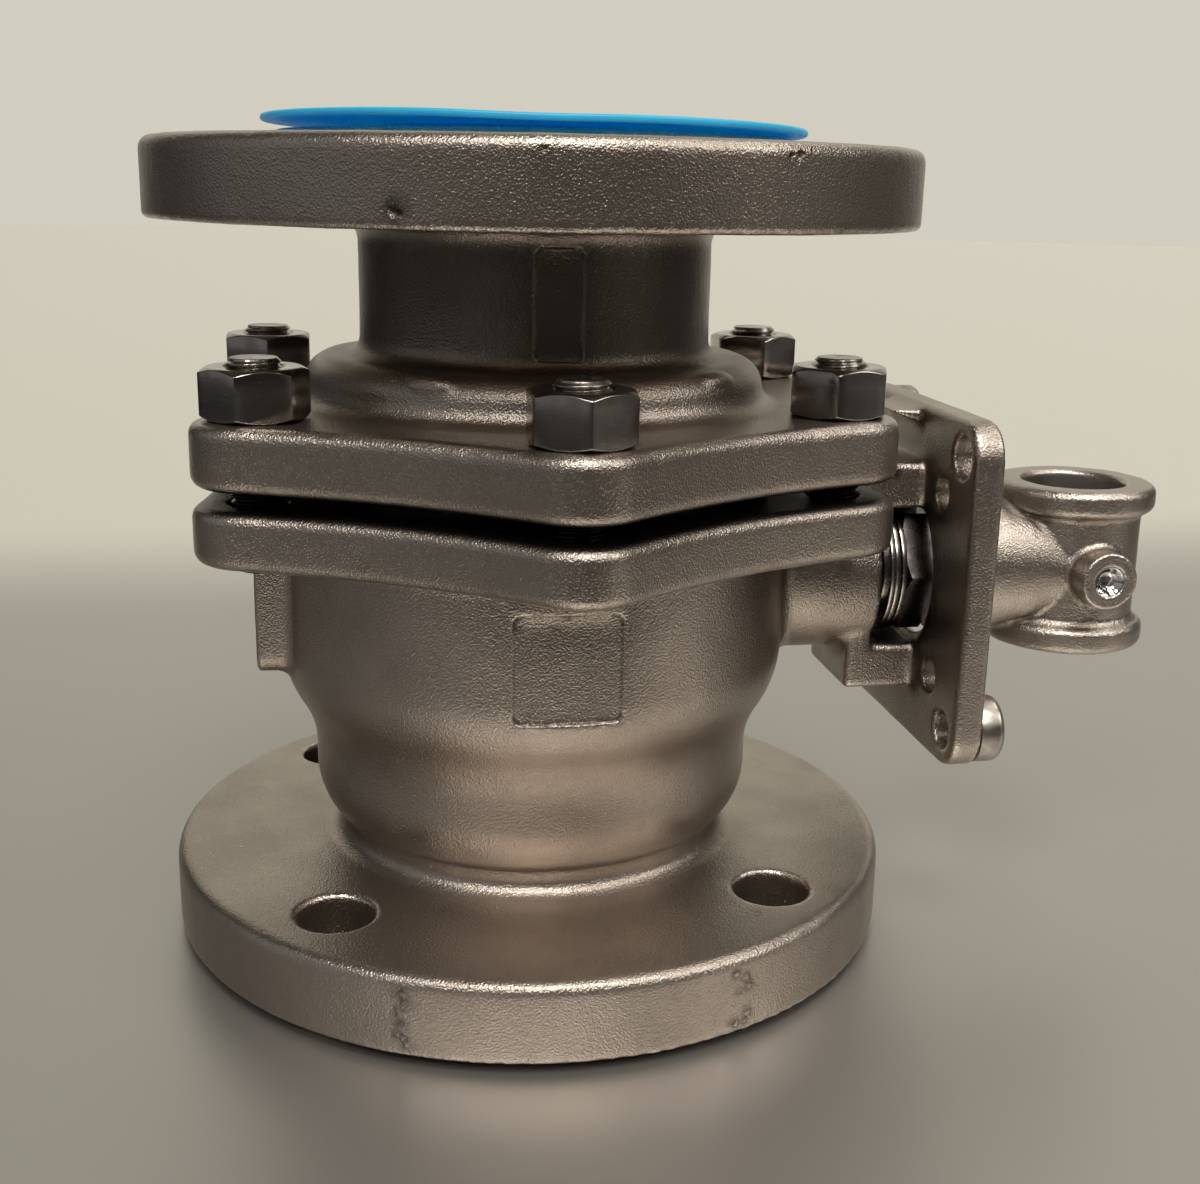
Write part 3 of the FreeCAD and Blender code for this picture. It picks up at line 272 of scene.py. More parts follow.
def turned_steel(name, colour, groove):
    """A face cut on a lathe: fine rings about the bore, groove millimetres apart."""
    finish, tree, sockets = new_finish(name, Metallic=1.0)
    place = object_place(tree)
    rings = add_node(tree, "ShaderNodeTexWave", {
        "Vector": place, "Scale": 0.32 / groove, "Distortion": 0.15, "Detail": 1.0},
        wave_type="RINGS", rings_direction="Z").outputs["Fac"]
    haze = noise(tree, place, 12.0, 4.0, 0.6, 21.0)
    dull = (*(0.72 * channel for channel in colour[:3]), 1)
    tone = blend_colours(tree, ease(tree, haze, 0.35, 0.7), colour, dull)
    tree.links.new(tone, sockets["Base Color"])
    tree.links.new(ease(tree, haze, 0.3, 0.7, 0.28, 0.42), sockets["Roughness"])
    raise_bumps(tree, sockets, rings, 0.05, 0.6)
    return finish


def plain_steel(name, colour, rough, scratch, wear=0.6, dark=0.5):
    """Machined or plated steel: hairline scratches, hazy patches, brighter edges, old grease and painted
    shade.
    """
    finish, tree, sockets = new_finish(name, Metallic=1.0)
    place = object_place(tree)
    haze = noise(tree, place, 5.0, 4.0, 0.6, 31.0)
    worn_and_shaded = place_group(tree, WEAR_AND_HOLLOW_SHADE, {"Wear": wear})
    hair = stretched(tree, place, (0.15, 0.15, 3.0), (0.5, 0.35, 0.2))
    lines = ease(tree, noise(tree, hair, 0.7, 2.0, 0.5, 33.0), 0.6, 0.72)
    dull = (*(dark * channel for channel in colour[:3]), 1)
    tone = blend_colours(tree, ease(tree, haze, 0.35, 0.68), colour, dull)
    tone = stain(tree, tone, (
        # painted shade with some dirt in hollow corners
        (worn_and_shaded["Hollow Shade And Dirt"], 0.6, (0.04, 0.034, 0.028)),
        (worn_and_shaded["Rubbed"], 0.6, (0.85, 0.83, 0.8)),
        # painted shade on the studs inside the split joint, with old grease
        (mask_of(tree, "grime_and_shade"), 0.93, (0.02, 0.016, 0.013)),
    ))
    tree.links.new(tone, sockets["Base Color"])
    uneven = ease(tree, haze, 0.3, 0.7, rough * 0.8, rough * 1.4)
    tree.links.new(plus(tree, uneven, times(tree, lines, scratch)), sockets["Roughness"])
    raise_bumps(tree, sockets, plus(tree, lines, haze), 0.01, 0.5)
    return finish


def moulded_plastic(name, colour, deep, rough, sheen_haze, glow=0.1):
    """Moulded plastic: waxy gloss, light that passes through it, and handling marks."""
    finish, tree, sockets = new_finish(name, Metallic=0.0, Specular_IOR_Level=0.5,
                                       Subsurface_Weight=glow, Subsurface_Scale=0.008)
    sockets["Subsurface Radius"].default_value = (0.4, 0.85, 2.2)
    place = object_place(tree)
    haze = noise(tree, place, 18.0, 4.0, 0.6, 41.0)
    rubs = ease(tree, noise(tree, place, 1.6, 4.0, 0.7, 43.0), 0.58, 0.75)
    tone = blend_colours(tree, ease(tree, haze, 0.3, 0.7), colour, deep)
    tone = blend_colours(tree, times(tree, rubs, 0.12), tone, sheen_haze)
    tree.links.new(tone, sockets["Base Color"])
    uneven = ease(tree, haze, 0.3, 0.7, rough, rough + 0.1)
    tree.links.new(plus(tree, uneven, times(tree, rubs, 0.15)), sockets["Roughness"])
    raise_bumps(tree, sockets, noise(tree, place, 2.5, 3.0, 0.5, 47.0), 0.05, 0.4)
    return finish


CAST_BODY = cast_steel("cast_stainless", (0.46, 0.4, 0.345, 1), (0.38, 0.328, 0.282, 1), 0.42, 1.0)
CAST_LEVER = cast_steel("cast_stainless_fine", (0.5, 0.44, 0.385, 1), (0.41, 0.358, 0.312, 1), 0.4, 0.9)
TURNED_FACE = turned_steel("turned_stainless", (0.55, 0.52, 0.48, 1), 0.8)
NUT_STEEL = plain_steel("nut_steel", (0.38, 0.35, 0.325, 1), 0.15, 0.08, 1.0, 0.75)
STUD_STEEL = plain_steel("stud_steel", (0.42, 0.39, 0.35, 1), 0.24, 0.1, 0.8, 0.7)
WASHER_STEEL = plain_steel("washer_steel", (0.66, 0.64, 0.6, 1), 0.2, 0.1)
GLAND_STEEL = plain_steel("dark_gland_steel", (0.1, 0.09, 0.083, 1), 0.28, 0.1, 0.5)
BRIGHT_SCREW = plain_steel("chromed_screw", (0.78, 0.77, 0.75, 1), 0.1, 0.08, 0.5, 0.8)
STOP_STEEL = plain_steel("stop_screw_steel", (0.48, 0.44, 0.39, 1), 0.34, 0.08, 0.8, 0.7)
BALL_STEEL = plain_steel("polished_ball", (0.7, 0.69, 0.67, 1), 0.07, 0.05, 0.3, 0.9)
BLUE_COVER = moulded_plastic("blue_polyethylene", (0.05, 0.48, 0.99, 1), (0.04, 0.43, 0.97, 1), 0.35,
                             (0.3, 0.55, 0.85, 1), 0.6)
SEAT_POLYMER = moulded_plastic("seat_polymer", (0.72, 0.7, 0.64, 1), (0.62, 0.6, 0.55, 1), 0.38,
                               (0.85, 0.84, 0.8, 1))
GRAPHITE = moulded_plastic("gasket_graphite", (0.035, 0.035, 0.037, 1), (0.022, 0.022, 0.024, 1), 0.55,
                           (0.12, 0.12, 0.12, 1))


# Meshes in numbers
def read_rows(items, name):
    """A vector of each item, as rows."""
    values = np.empty(len(items) * 3)
    items.foreach_get(name, values)
    return values.reshape(-1, 3)


def read_points(mesh):
    return read_rows(mesh.vertices, "co")


def write_points(mesh, points):
    mesh.vertices.foreach_set("co", np.ascontiguousarray(points, dtype=np.float32).ravel())
    mesh.update()


def read_normals(mesh):
    return read_rows(mesh.vertex_normals, "vector")


@contextmanager
def edited(mesh):
    """The mesh's shape for editing, which is written back at the end of the block."""
    shape = bmesh.new()
    shape.from_mesh(mesh)
    yield shape
    shape.to_mesh(mesh)
    shape.free()


def smooth(mesh):
    mesh.polygons.foreach_set("use_smooth", np.ones(len(mesh.polygons), dtype=bool))


class Neighbours:
    """Averages of each point's neighbours along the mesh's edges."""

    def __init__(self, mesh):
        ends = np.empty(len(mesh.edges) * 2, dtype=np.int64)
        mesh.edges.foreach_get("vertices", ends)
        self.first, self.second = ends[0::2], ends[1::2]
        self.count = len(mesh.vertices)
        self.shares = np.bincount(ends, minlength=self.count).clip(1)

    def mean(self, values):
        if values.ndim == 2:
            return np.stack([self.mean(column) for column in values.T], axis=1)
        total = np.bincount(self.first, values[self.second], self.count)
        total += np.bincount(self.second, values[self.first], self.count)
        return total / self.shares

    def blur(self, values, rounds):
        for _ in range(rounds):
            values = 0.5 * values + 0.5 * self.mean(values)
        return values

    def bulge(self, points, normals):
        """How far each point stands out of its neighbours, in millimetres; negative in a corner."""
        return np.einsum("ij,ij->i", points - self.mean(points), normals) / MM


def lumps(points, size, seed):
    """Smooth random values from -1 to 1 whose lumps are about size millimetres across."""
    table = np.random.default_rng(seed).uniform(-1, 1, (64, 64, 64))
    place = points / (size * MM) + 1000.0
    cell = np.floor(place).astype(np.int64)
    share = place - cell
    share = share * share * (3 - 2 * share)
    total = np.zeros(len(points))
    for corner in range(8):
        step = np.array([corner & 1, corner >> 1 & 1, corner >> 2 & 1])
        weight = np.prod(np.where(step == 1, share, 1 - share), axis=1)
        spot = (cell + step) % 64
        total += weight * table[spot[:, 0], spot[:, 1], spot[:, 2]]
    return total


def soft_step(values, low, high):
    share = np.clip((values - low) / (high - low), 0, 1)
    return share * share * (3 - 2 * share)


def read_mask(mesh, name):
    """A mask of the mesh, or zeros where it has none of that name."""
    values = np.zeros(len(mesh.vertices), dtype=np.float32)
    if name in mesh.attributes:
        mesh.attributes[name].data.foreach_get("value", values)
    return values


def set_mask(mesh, name, values):
    mask = mesh.attributes.get(name) or mesh.attributes.new(name, "FLOAT", "POINT")
    mask.data.foreach_set("value", np.clip(values, 0, 1).astype(np.float32))


# Objects
def new_piece(name, mesh, body, nodes, finishes):
    """Puts a finished mesh in the scene in place of its CAD nodes, riding on their body."""
    piece = bpy.data.objects.new(name, mesh)
    bpy.context.scene.collection.objects.link(piece)
    mesh.materials.clear()
    for finish in finishes:
        mesh.materials.append(finish)
    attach(piece, body)
    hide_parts(*nodes)


def plain_result(mesh, *modifiers):
    """The mesh that a list of (kind, settings) modifiers makes of this one."""
    carrier = bpy.data.objects.new("carrier", mesh)
    bpy.context.scene.collection.objects.link(carrier)
    for kind, settings in modifiers:
        modifier = carrier.modifiers.new(kind.lower(), kind)
        for name, value in settings.items():
            if hasattr(modifier, name):
                setattr(modifier, name, value)
            else:
                modifier[name] = value
    carrier.update_tag()
    evaluated = carrier.evaluated_get(bpy.context.evaluated_depsgraph_get())
    result = bpy.data.meshes.new_from_object(evaluated)
    bpy.data.objects.remove(carrier)
    return result


def joined_copy(node):
    """A copy of a CAD node's mesh with its loose triangles merged and its flat faces whole."""
    shape = bmesh.new()
    shape.from_mesh(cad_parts[node].data)
    bmesh.ops.remove_doubles(shape, verts=shape.verts, dist=2e-6)
    mesh = bpy.data.meshes.new(node + "_copy")
    shape.to_mesh(mesh)
    shape.free()
    return mesh


def add_edge_masks(mesh, spread, sharp):
    """Stores how convex and how hollow the surface is, for wear and for painted shade with dirt."""
    near = Neighbours(mesh)
    points, normals = read_points(mesh), read_normals(mesh)
    lengths = np.linalg.norm(points[near.first] - points[near.second], axis=1)
    reach = np.bincount(near.first, lengths, near.count) + np.bincount(near.second, lengths, near.count)
    curve = near.bulge(points, normals) / np.maximum(reach / near.shares / MM, 1e-3) ** 2
    curve = near.blur(np.clip(curve, -2, 2), spread)
    set_mask(mesh, "edge", soft_step(curve, 0.25 * sharp, sharp))
    set_mask(mesh, "hollow", soft_step(-curve, 0.25 * sharp, sharp))


# Castings
def soften(mesh, fillet_rounds, keep):
    """Takes out the voxel steps, then fills the inner corners with soft fillets where keep is false."""
    near = Neighbours(mesh)
    points = read_points(mesh)
    for _ in range(3):
        points += 0.5 * (near.mean(points) - points)
        points -= 0.52 * (near.mean(points) - points)
    points += 0.5 * (near.mean(points) - points)
    write_points(mesh, points)
    normals = read_normals(mesh)
    hollow = soft_step(-near.blur(near.bulge(points, normals), 2), 0.01, 0.045)
    hollow = soft_step(near.blur(hollow * ~keep(points / MM), 5), 0.03, 0.25)
    for _ in range(fillet_rounds):
        points += (0.6 * hollow)[:, None] * (near.mean(points) - points)
    write_points(mesh, points)


def thin_out(mesh, triangles):
    """The mesh with no more than so many triangles."""
    count = sum(len(face.vertices) - 2 for face in mesh.polygons)
    if count <= triangles:
        return mesh
    return plain_result(mesh, ("DECIMATE", {"ratio": triangles / count, "use_collapse_triangulate": True}))


def roughen(mesh, depths, skip):
    """Moves the skin in and out by lumps, but not where skip says; depths are (size, depth, seed) in mm."""
    points, normals = read_points(mesh), read_normals(mesh)
    shift = sum(depth * lumps(points, size, seed) for size, depth, seed in depths)
    shift = shift * ~skip(points / MM, normals)
    write_points(mesh, points + normals * shift[:, None] * MM)


def raise_blisters(mesh, marks):
    """Small uneven blisters and pits of the casting, each in a dark stain.

    Each mark is (angle, height on the rim, radius, height, darkness); a pit has a negative height. Returns
    the mask of the stains.
    """
    spots = [(around(FLANGE_RIM, angle, place), *rest) for angle, place, *rest in marks]
    refine_near(mesh, spots, 3.2)
    refine_near(mesh, spots, 2.6)
    points, normals = read_points(mesh), read_normals(mesh)
    darkening = np.zeros(len(points))
    shift = np.zeros(len(points))
    ragged = 1 + 0.3 * lumps(points, 0.9, 21) + 0.25 * lumps(points, 0.45, 22)
    for centre, radius, height, darkness in spots:
        away = np.linalg.norm(points / MM - np.array(centre), axis=1) / radius * ragged
        shift += height * np.sqrt(np.clip(1 - away ** 2, 0, 1))
        spread = np.exp(-(away / 1.7) ** 2)
        if height > 0:
            spread *= soft_step(away, 0.5, 1.0)
        darkening = np.maximum(darkening, darkness * spread)
    write_points(mesh, points + normals * shift[:, None] * MM)
    return darkening


def refine_near(mesh, spots, reach):
    """Halves the edges round small marks so that their shapes have enough points."""
    points = read_points(mesh) / MM
    near = np.zeros(len(points), dtype=bool)
    for spot in spots:
        near |= np.linalg.norm(points - np.array(spot[0]), axis=1) < reach
    with edited(mesh) as shape:
        edges = [edge for edge in shape.edges if near[edge.verts[0].index] and near[edge.verts[1].index]]
        bmesh.ops.subdivide_edges(shape, edges=edges, cuts=1)
        bmesh.ops.triangulate(shape, faces=[face for face in shape.faces if len(face.verts) > 3])


class Panel:
    """A straight-edged bare panel sunk in a round wall that faces -Y, with sloped sides and cut corners.

    DEPTH is how far it is sunk, SLOPE its sides' width, CORNER what is cut off each corner, SHADE the width
    of the painted shade and dirt along the foot, MARGIN how far round it faces are cut, and FRONT where the
    wall's front side starts; all in millimetres.
    """

    DEPTH, SLOPE, CORNER, SHADE, MARGIN, FRONT = 0.5, 0.35, 1.3, 0.75, 2.0, -20.0

    def __init__(self, half_width, bottom, top):
        self.half_width = half_width
        self.middle, self.half_height = (bottom + top) / 2, (top - bottom) / 2

    def outside(self, points):
        """How far each point lies outside the panel's outline, seen square on."""
        across = np.abs(points[:, 0]) - self.half_width
        up = np.abs(points[:, 2] - self.middle) - self.half_height
        away = np.maximum(np.maximum(across, up), (across + up + self.CORNER) / math.sqrt(2))
        return np.where(points[:, 1] < self.FRONT, away, np.inf)

    def cuts(self):
        """Planes through the outline's sides and corners, at the wall, at the floor and inside it."""
        for inset in (0.0, self.SLOPE, self.SLOPE + self.SHADE):
            side, end = self.half_width - inset, self.half_height - inset
            for sign in (-1, 1):
                yield (sign * side, 0, 0), (1, 0, 0)
                yield (0, 0, self.middle + sign * end), (0, 0, 1)
                for up in (-1, 1):
                    corner = side - self.CORNER + 0.4 * inset
                    yield (sign * corner, 0, self.middle + up * end), (sign, 0, up)

    def press(self, mesh):
        """Sinks the panel and returns painted shade, with some dirt, along the foot of its sides."""
        near = self.outside(read_points(mesh) / MM) < self.MARGIN
        with edited(mesh) as shape:
            faces = [face for face in shape.faces if all(near[vertex.index] for vertex in face.verts)]
            geometry = {item for face in faces for item in (face, *face.edges, *face.verts)}
            for place, normal in self.cuts():
                cut = bmesh.ops.bisect_plane(shape, geom=list(geometry), dist=1e-7,
                                             plane_co=Vector(place) * MM, plane_no=normal)
                geometry = set(cut["geom"])
            bmesh.ops.triangulate(shape, faces=[face for face in shape.faces if len(face.verts) > 3])
        points = read_points(mesh) / MM
        away = self.outside(points)
        across = np.hypot(points[:, 0], points[:, 1])
        wanted = across - self.DEPTH * np.clip(-away / self.SLOPE, 0, 1)
        points[:, :2] *= (wanted / np.maximum(across, 1e-6))[:, None]
        write_points(mesh, points * MM)
        # painted shade: the foot of the sides is darkened for the recess's shade, with some dirt
        foot = np.clip(-away / self.SLOPE, 0, 1) * np.clip(1 + (away + self.SLOPE) / self.SHADE, 0, 1)
        return 0.6 * foot * (0.7 + 0.3 * lumps(points * MM, 2.5, 31))


def mark_turned_faces(mesh, is_turned):
    """Gives the second finish to the faces that a lathe or mill has cut."""
    turned = is_turned(read_rows(mesh.polygons, "center") / MM, read_rows(mesh.polygons, "normal"))
    mesh.polygons.foreach_set("material_index", turned.astype(np.int32))


def keep_in_box(mesh, node):
    """Keeps the dressed mesh inside the box of its CAD node."""
    low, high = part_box(node)
    write_points(mesh, np.clip(read_points(mesh), np.array(low), np.array(high)))


def add_bump(mesh, centre, reach, turned, tip):
    """Adds an oval lump to a casting before it is remeshed; reach is its three half sizes in mm."""
    place = (Matrix.Translation(Vector(centre) * MM) @ Matrix.Rotation(math.radians(turned), 4, "Z")
             @ Matrix.Rotation(math.radians(tip), 4, "Y") @ Matrix.Diagonal(Vector(reach) * MM).to_4x4())
    with edited(mesh) as shape:
        bmesh.ops.create_icosphere(shape, subdivisions=4, radius=1.0, matrix=place)


def around(radius, degrees, height):
    """A place by its distance from the bore's axis, its angle and its height."""
    turned = math.radians(degrees)
    return radius * math.cos(turned), radius * math.sin(turned), height


def casting(name, node, body, voxel, triangles, fillet, keep, turned, grime_and_shade, depths, finishes,
            panel, bumps=(), marks=()):
    """One cast piece: remeshed for soft corners, roughened, and masked for wear, stains, grease and painted
    shade.

    voxel is its face size in mm, fillet the rounds of softening in its hollow corners, and depths the lumps
    of its skin. keep and turned say where the corners stay crisp and which faces are machined.
    """
    coarse = 1.0
    mesh = joined_copy(node)
    for bump in bumps:
        add_bump(mesh, *bump)
    mesh = plain_result(mesh, ("REMESH", {"mode": "VOXEL", "voxel_size": voxel * coarse * MM,
                                          "use_smooth_shade": True}))
    soften(mesh, int(fillet / coarse), keep)
    roughen(mesh, depths, lambda points, normals: turned(points, normals) | is_inside(points, normals))
    if node == "body":
        add_bore_lip(mesh)
    mesh = thin_out(mesh, triangles)
    # painted shade with some dirt along the panel's foot
    if panel:
        set_mask(mesh, "grime_and_shade", panel.press(mesh))
    darkening = raise_blisters(mesh, marks) if marks else 0.0
    keep_in_box(mesh, node)
    # painted shade in gaps and sheltered places joins the stains in one mask
    darkening = np.maximum(darkening, grime_and_shade(read_points(mesh) / MM))
    set_mask(mesh, "grime_and_shade", np.maximum(darkening, read_mask(mesh, "grime_and_shade")))
    add_edge_masks(mesh, 3, 0.16)
    smooth(mesh)
    new_piece(name, mesh, body, [node], finishes)
    mark_turned_faces(mesh, turned)


def is_inside(points, normals):
    """The walls of the ball's chamber, which face the bore's axis."""
    across = np.hypot(points[:, 0], points[:, 1])
    inward = (points[:, 0] * normals[:, 0] + points[:, 1] * normals[:, 1]) < -0.3 * across
    return (across < CHAMBER_RADIUS) & inward


def add_bore_lip(mesh):
    """The lip inside the pad's bore that the stem passes through."""
    points = read_points(mesh) / MM
    along, across, up = points[:, 0], points[:, 1], points[:, 2] - STEM_HEIGHT
    away = np.hypot(across, up)
    wall = PAD_BORE_RADIUS - 1.0, PAD_BORE_RADIUS + 0.6
    on_wall = (away > wall[0]) & (away < wall[1]) & (along > LIP_START) & (along < LIP_END)
    inward = LIP_HEIGHT * soft_step(along, LIP_START + 0.2, LIP_START + 1.8) * on_wall
    inward *= 1 - soft_step(along, LIP_END - 1.7, LIP_END - 0.1)
    share = 1 - inward / np.maximum(away, 1)
    points[:, 1] = across * share
    points[:, 2] = STEM_HEIGHT + up * share
    write_points(mesh, points * MM)


def body_shade_and_grime(points):
    """Painted shade in the gland's window and the split joint's gap, and painted shade with grease on the
    pad's back.
    """
    along, height = points[:, 0], points[:, 2] - STEM_HEIGHT
    up = np.hypot(0.75 * points[:, 1], height)
    # painted shade in the gland's window
    window = soft_step(along, WINDOW_START, WINDOW_START + 0.6)
    window *= 1 - soft_step(along, WINDOW_END - 0.8, WINDOW_END)
    window *= 1 - soft_step(np.abs(height), WINDOW_HALF_HEIGHT - 0.7, WINDOW_HALF_HEIGHT)
    window *= 1 - soft_step(up, PAD_BORE_RADIUS - 1.4, PAD_BORE_RADIUS)
    across = np.hypot(points[:, 0], points[:, 1])
    # painted shade in the split joint's gap
    joint = soft_step(points[:, 2], JOINT_FACE - 1.6, JOINT_FACE - 0.1) * (across > JOINT_INNER_RADIUS)
    joint *= along < JOINT_END
    # painted shade with grease on the pad's back
    pad_back = (np.abs(along - PAD_BACK) < 1.2) * (1 - soft_step(up, 26.0, 50.0))
    return np.maximum(np.maximum(window, 0.9 * joint), 0.8 * pad_back)


def cap_shade_and_grime(points):
    """Painted shade in the split joint's gap, and painted shade with a brown film on the neck and shoulder
    under the upper flange.
    """
    across, height = np.hypot(points[:, 0], points[:, 1]), points[:, 2]
    # painted shade in the split joint's gap
    joint = 0.9 * (1 - soft_step(height, CAP_FACE + 0.1, CAP_FACE + 1.6))
    joint *= across > CAP_JOINT_INNER_RADIUS
    # painted shade with a brown film under the upper flange
    neck = soft_step(height, NECK_BOTTOM, NECK_BOTTOM + 17) * (across < NECK_RADIUS)
    neck = neck * (1 - soft_step(height, NECK_TOP - 6, NECK_TOP))
    return np.maximum(joint, neck * (0.72 + 0.12 * lumps(points * MM, 14.0, 33)))


def no_grime(points):
    return np.zeros(len(points))


def no_zone(points):
    return np.zeros(len(points), dtype=bool)


def body_is_turned(points, normals):
    """The raised face, the bore and the pad's front."""
    across = np.hypot(points[:, 0], points[:, 1])
    face = (points[:, 2] < 0.4) & (normals[:, 2] < -0.8)
    bore = (across < BORE_WALL) & (points[:, 2] < BORE_TOP)
    pad = (points[:, 0] > PAD_FRONT) & (normals[:, 0] > 0.8)
    return face | bore | pad


def cap_is_turned(points, normals):
    """The upper raised face and the bore."""
    across = np.hypot(points[:, 0], points[:, 1])
    face = (points[:, 2] > UPPER_FACE - 0.4) & (normals[:, 2] > 0.8)
    return face | (across < BORE_WALL)


def lever_is_turned(points, normals):
    """The bore of the lever's tube."""
    away = np.hypot(points[:, 0] - LEVER_TUBE_X, points[:, 1])
    return (away < LEVER_TUBE_BORE) & (np.abs(normals[:, 2]) < 0.5)


def crisp_zone(points):
    """The raised faces' steps stay crisp."""
    return (points[:, 2] < LOWER_STEP) | (points[:, 2] > UPPER_STEP)


# Small marks of the castings on the flanges' rims: angle, height on the rim, radius, height, darkness
LOWER_RIM_MARKS = [
    (-114.5, 17.5, 1.0, 0.22, 1.0), (-114.2, 15.9, 0.8, 0.2, 1.0),
    (-115.1, 13.3, 0.85, 0.34, 0.7), (-114.3, 13.0, 0.65, 0.3, 0.7),
    (-115.0, 10.6, 1.1, -0.12, 0.7), (-115.3, 7.6, 0.75, 0.34, 0.9),
    (-114.6, 6.8, 0.6, 0.2, 1.0), (-114.1, 5.4, 0.75, 0.3, 0.8),
    (-67.5, 17.7, 0.75, 0.26, 0.9), (-65.7, 16.1, 0.85, 0.24, 0.9),
    (-65.3, 13.9, 0.85, 0.38, 0.9), (-66.9, 13.2, 0.6, 0.24, 0.8),
    (-65.3, 6.7, 0.9, 0.16, 0.9), (-65.7, 5.0, 0.8, 0.22, 1.0),
    (-67.2, 5.0, 0.8, 0.3, 0.8),
]
UPPER_RIM_MARKS = [
    (-114.1, 186.3, 1.1, -0.7, 1.0), (-113.4, 185.9, 0.8, -0.5, 1.0),
    (-63.2, 198.7, 0.8, -0.4, 0.9), (-64.8, 198.2, 0.7, -0.35, 0.9),
    (-61.2, 199.6, 0.6, -0.3, 0.8), (-96.3, 198.3, 0.6, -0.35, 0.9),
    (-54.9, 182.9, 0.5, -0.3, 0.7),
]


def dress_castings():
    skin = [(9.0, 0.08, 1), (3.2, 0.025, 2), (1.6, 0.015, 3)]
    casting("body_casting", "body", "casing", 0.85, 172000, 34, crisp_zone, body_is_turned, body_shade_and_grime,
            skin, [CAST_BODY, TURNED_FACE], Panel(13.0, 71.5, 98.0), marks=LOWER_RIM_MARKS)
    shoulder_bumps = [
        (around(55.6, -122, 147.6), (2.9, 6.8, 2.0), -122, 35.0),
        (around(55.6, -47, 147.6), (2.6, 6.8, 1.7), -47, 35.0),
    ]
    casting("end_casting", "end_cap", "casing", 0.85, 165000, 30, crisp_zone, cap_is_turned, cap_shade_and_grime,
            skin, [CAST_BODY, TURNED_FACE], Panel(6.0, 152.0, 178.0), shoulder_bumps, UPPER_RIM_MARKS)
    casting("lever_casting", "lever_head", "stem_and_lever", 0.45, 110000, 60, no_zone, lever_is_turned,
            no_grime, [(5.0, 0.08, 7), (1.6, 0.03, 8)], [CAST_LEVER, TURNED_FACE], None)


# Turned shapes
def turned_mesh(name, rows, columns):
    """A closed ring; each row is a pair of functions of the angle, for radius and height in mm."""
    angles = [2 * math.pi * step / columns for step in range(columns)]
    mesh = bpy.data.meshes.new(name)
    with edited(mesh) as shape:
        rings = [[shape.verts.new((radius(angle) * math.cos(angle) * MM, radius(angle) * math.sin(angle) * MM,
                                   height(angle) * MM)) for angle in angles] for radius, height in rows]
        join_rings(shape, rings + rings[:1])
        bmesh.ops.recalc_face_normals(shape, faces=shape.faces)
    return mesh


def join_rings(shape, rings):
    """Faces between each ring of corners and the next; a ring may be one corner, repeated."""
    for inner, outer in zip(rings, rings[1:]):
        for step in range(len(inner)):
            after = (step + 1) % len(inner)
            corners = inner[step], inner[after], outer[after], outer[step]
            shape.faces.new(list(dict.fromkeys(corners)))


def fixed(value):
    return lambda angle: value


def one_nut(flats, height, bore):
    """A hexagon nut, chamfered at both ends, with blunted corners and a countersunk bore."""
    face = flats / 2 * 0.955
    slope = math.tan(math.radians(30))

    def side(angle):
        away = (math.degrees(angle) % 60) - 30
        return min(flats / 2 / math.cos(math.radians(away)), flats / math.sqrt(3) - 0.16)

    def fall(angle):
        return (side(angle) - face) * slope

    sink = 0.9
    rows = [
        (fixed(bore + sink), fixed(0)), (fixed(face), fixed(0)), (side, fall),
        (side, lambda angle: height - fall(angle)), (fixed(face), fixed(height)),
        (fixed(bore + sink), fixed(height)), (fixed(bore), fixed(height - sink)),
        (fixed(bore), fixed(sink)),
    ]
    return plain_result(turned_mesh("nut", rows, 60), (
        "BEVEL", {"width": 0.22 * MM, "segments": 3, "limit_method": "ANGLE",
                  "angle_limit": math.radians(14), "use_clamp_overlap": True}))


# Geometry Nodes for what repeats round the bore
def new_ring_tree(name, inputs):
    """A Geometry Nodes tree with the inputs that every ring of copies needs, and its own."""
    return new_group(name, (
        ("Geometry", "NodeSocketGeometry", None), ("Count", "NodeSocketInt", 6),
        ("Circle Radius", FLOAT, 0.08), ("First Angle", FLOAT, 0.0), ("Seed", "NodeSocketInt", 1),
        ("Material", "NodeSocketMaterial", None), *inputs), (("Geometry", "NodeSocketGeometry"),),
        "GeometryNodeTree")


def ring_places(tree, given, height):
    """Points round the bore, with each one's angle and number."""
    number = add_node(tree, "GeometryNodeInputIndex").outputs[0]
    step = sum_of(tree, "DIVIDE", 360.0, given["Count"])
    angle = sum_of(tree, "RADIANS", plus(tree, given["First Angle"], times(tree, number, step)))
    place = add_node(tree, "ShaderNodeCombineXYZ", {
        "X": times(tree, sum_of(tree, "COSINE", angle), given["Circle Radius"]),
        "Y": times(tree, sum_of(tree, "SINE", angle), given["Circle Radius"]), "Z": height}).outputs[0]
    points = add_node(tree, "GeometryNodePoints", {"Count": given["Count"], "Position": place}).outputs[0]
    return points, angle, number


def random_turn(tree, given, low, high):
    return add_node(tree, "FunctionNodeRandomValue", {"Seed": given["Seed"], 2: low, 3: high},
                    data_type="FLOAT").outputs[1]


def copy_to_points(tree, given, result, piece, points, turn):
    """A turned copy on each point, made real and given its material."""
    spin = add_node(tree, "ShaderNodeCombineXYZ", {"Z": turn}).outputs[0]
    copies = add_node(tree, "GeometryNodeInstanceOnPoints", {
        "Points": points, "Instance": piece, "Rotation": spin}).outputs[0]
    whole = add_node(tree, "GeometryNodeRealizeInstances", {"Geometry": copies}).outputs[0]
    finished = add_node(tree, "GeometryNodeSetMaterial", {"Geometry": whole, "Material": given["Material"]})
    tree.links.new(finished.outputs[0], result["Geometry"])


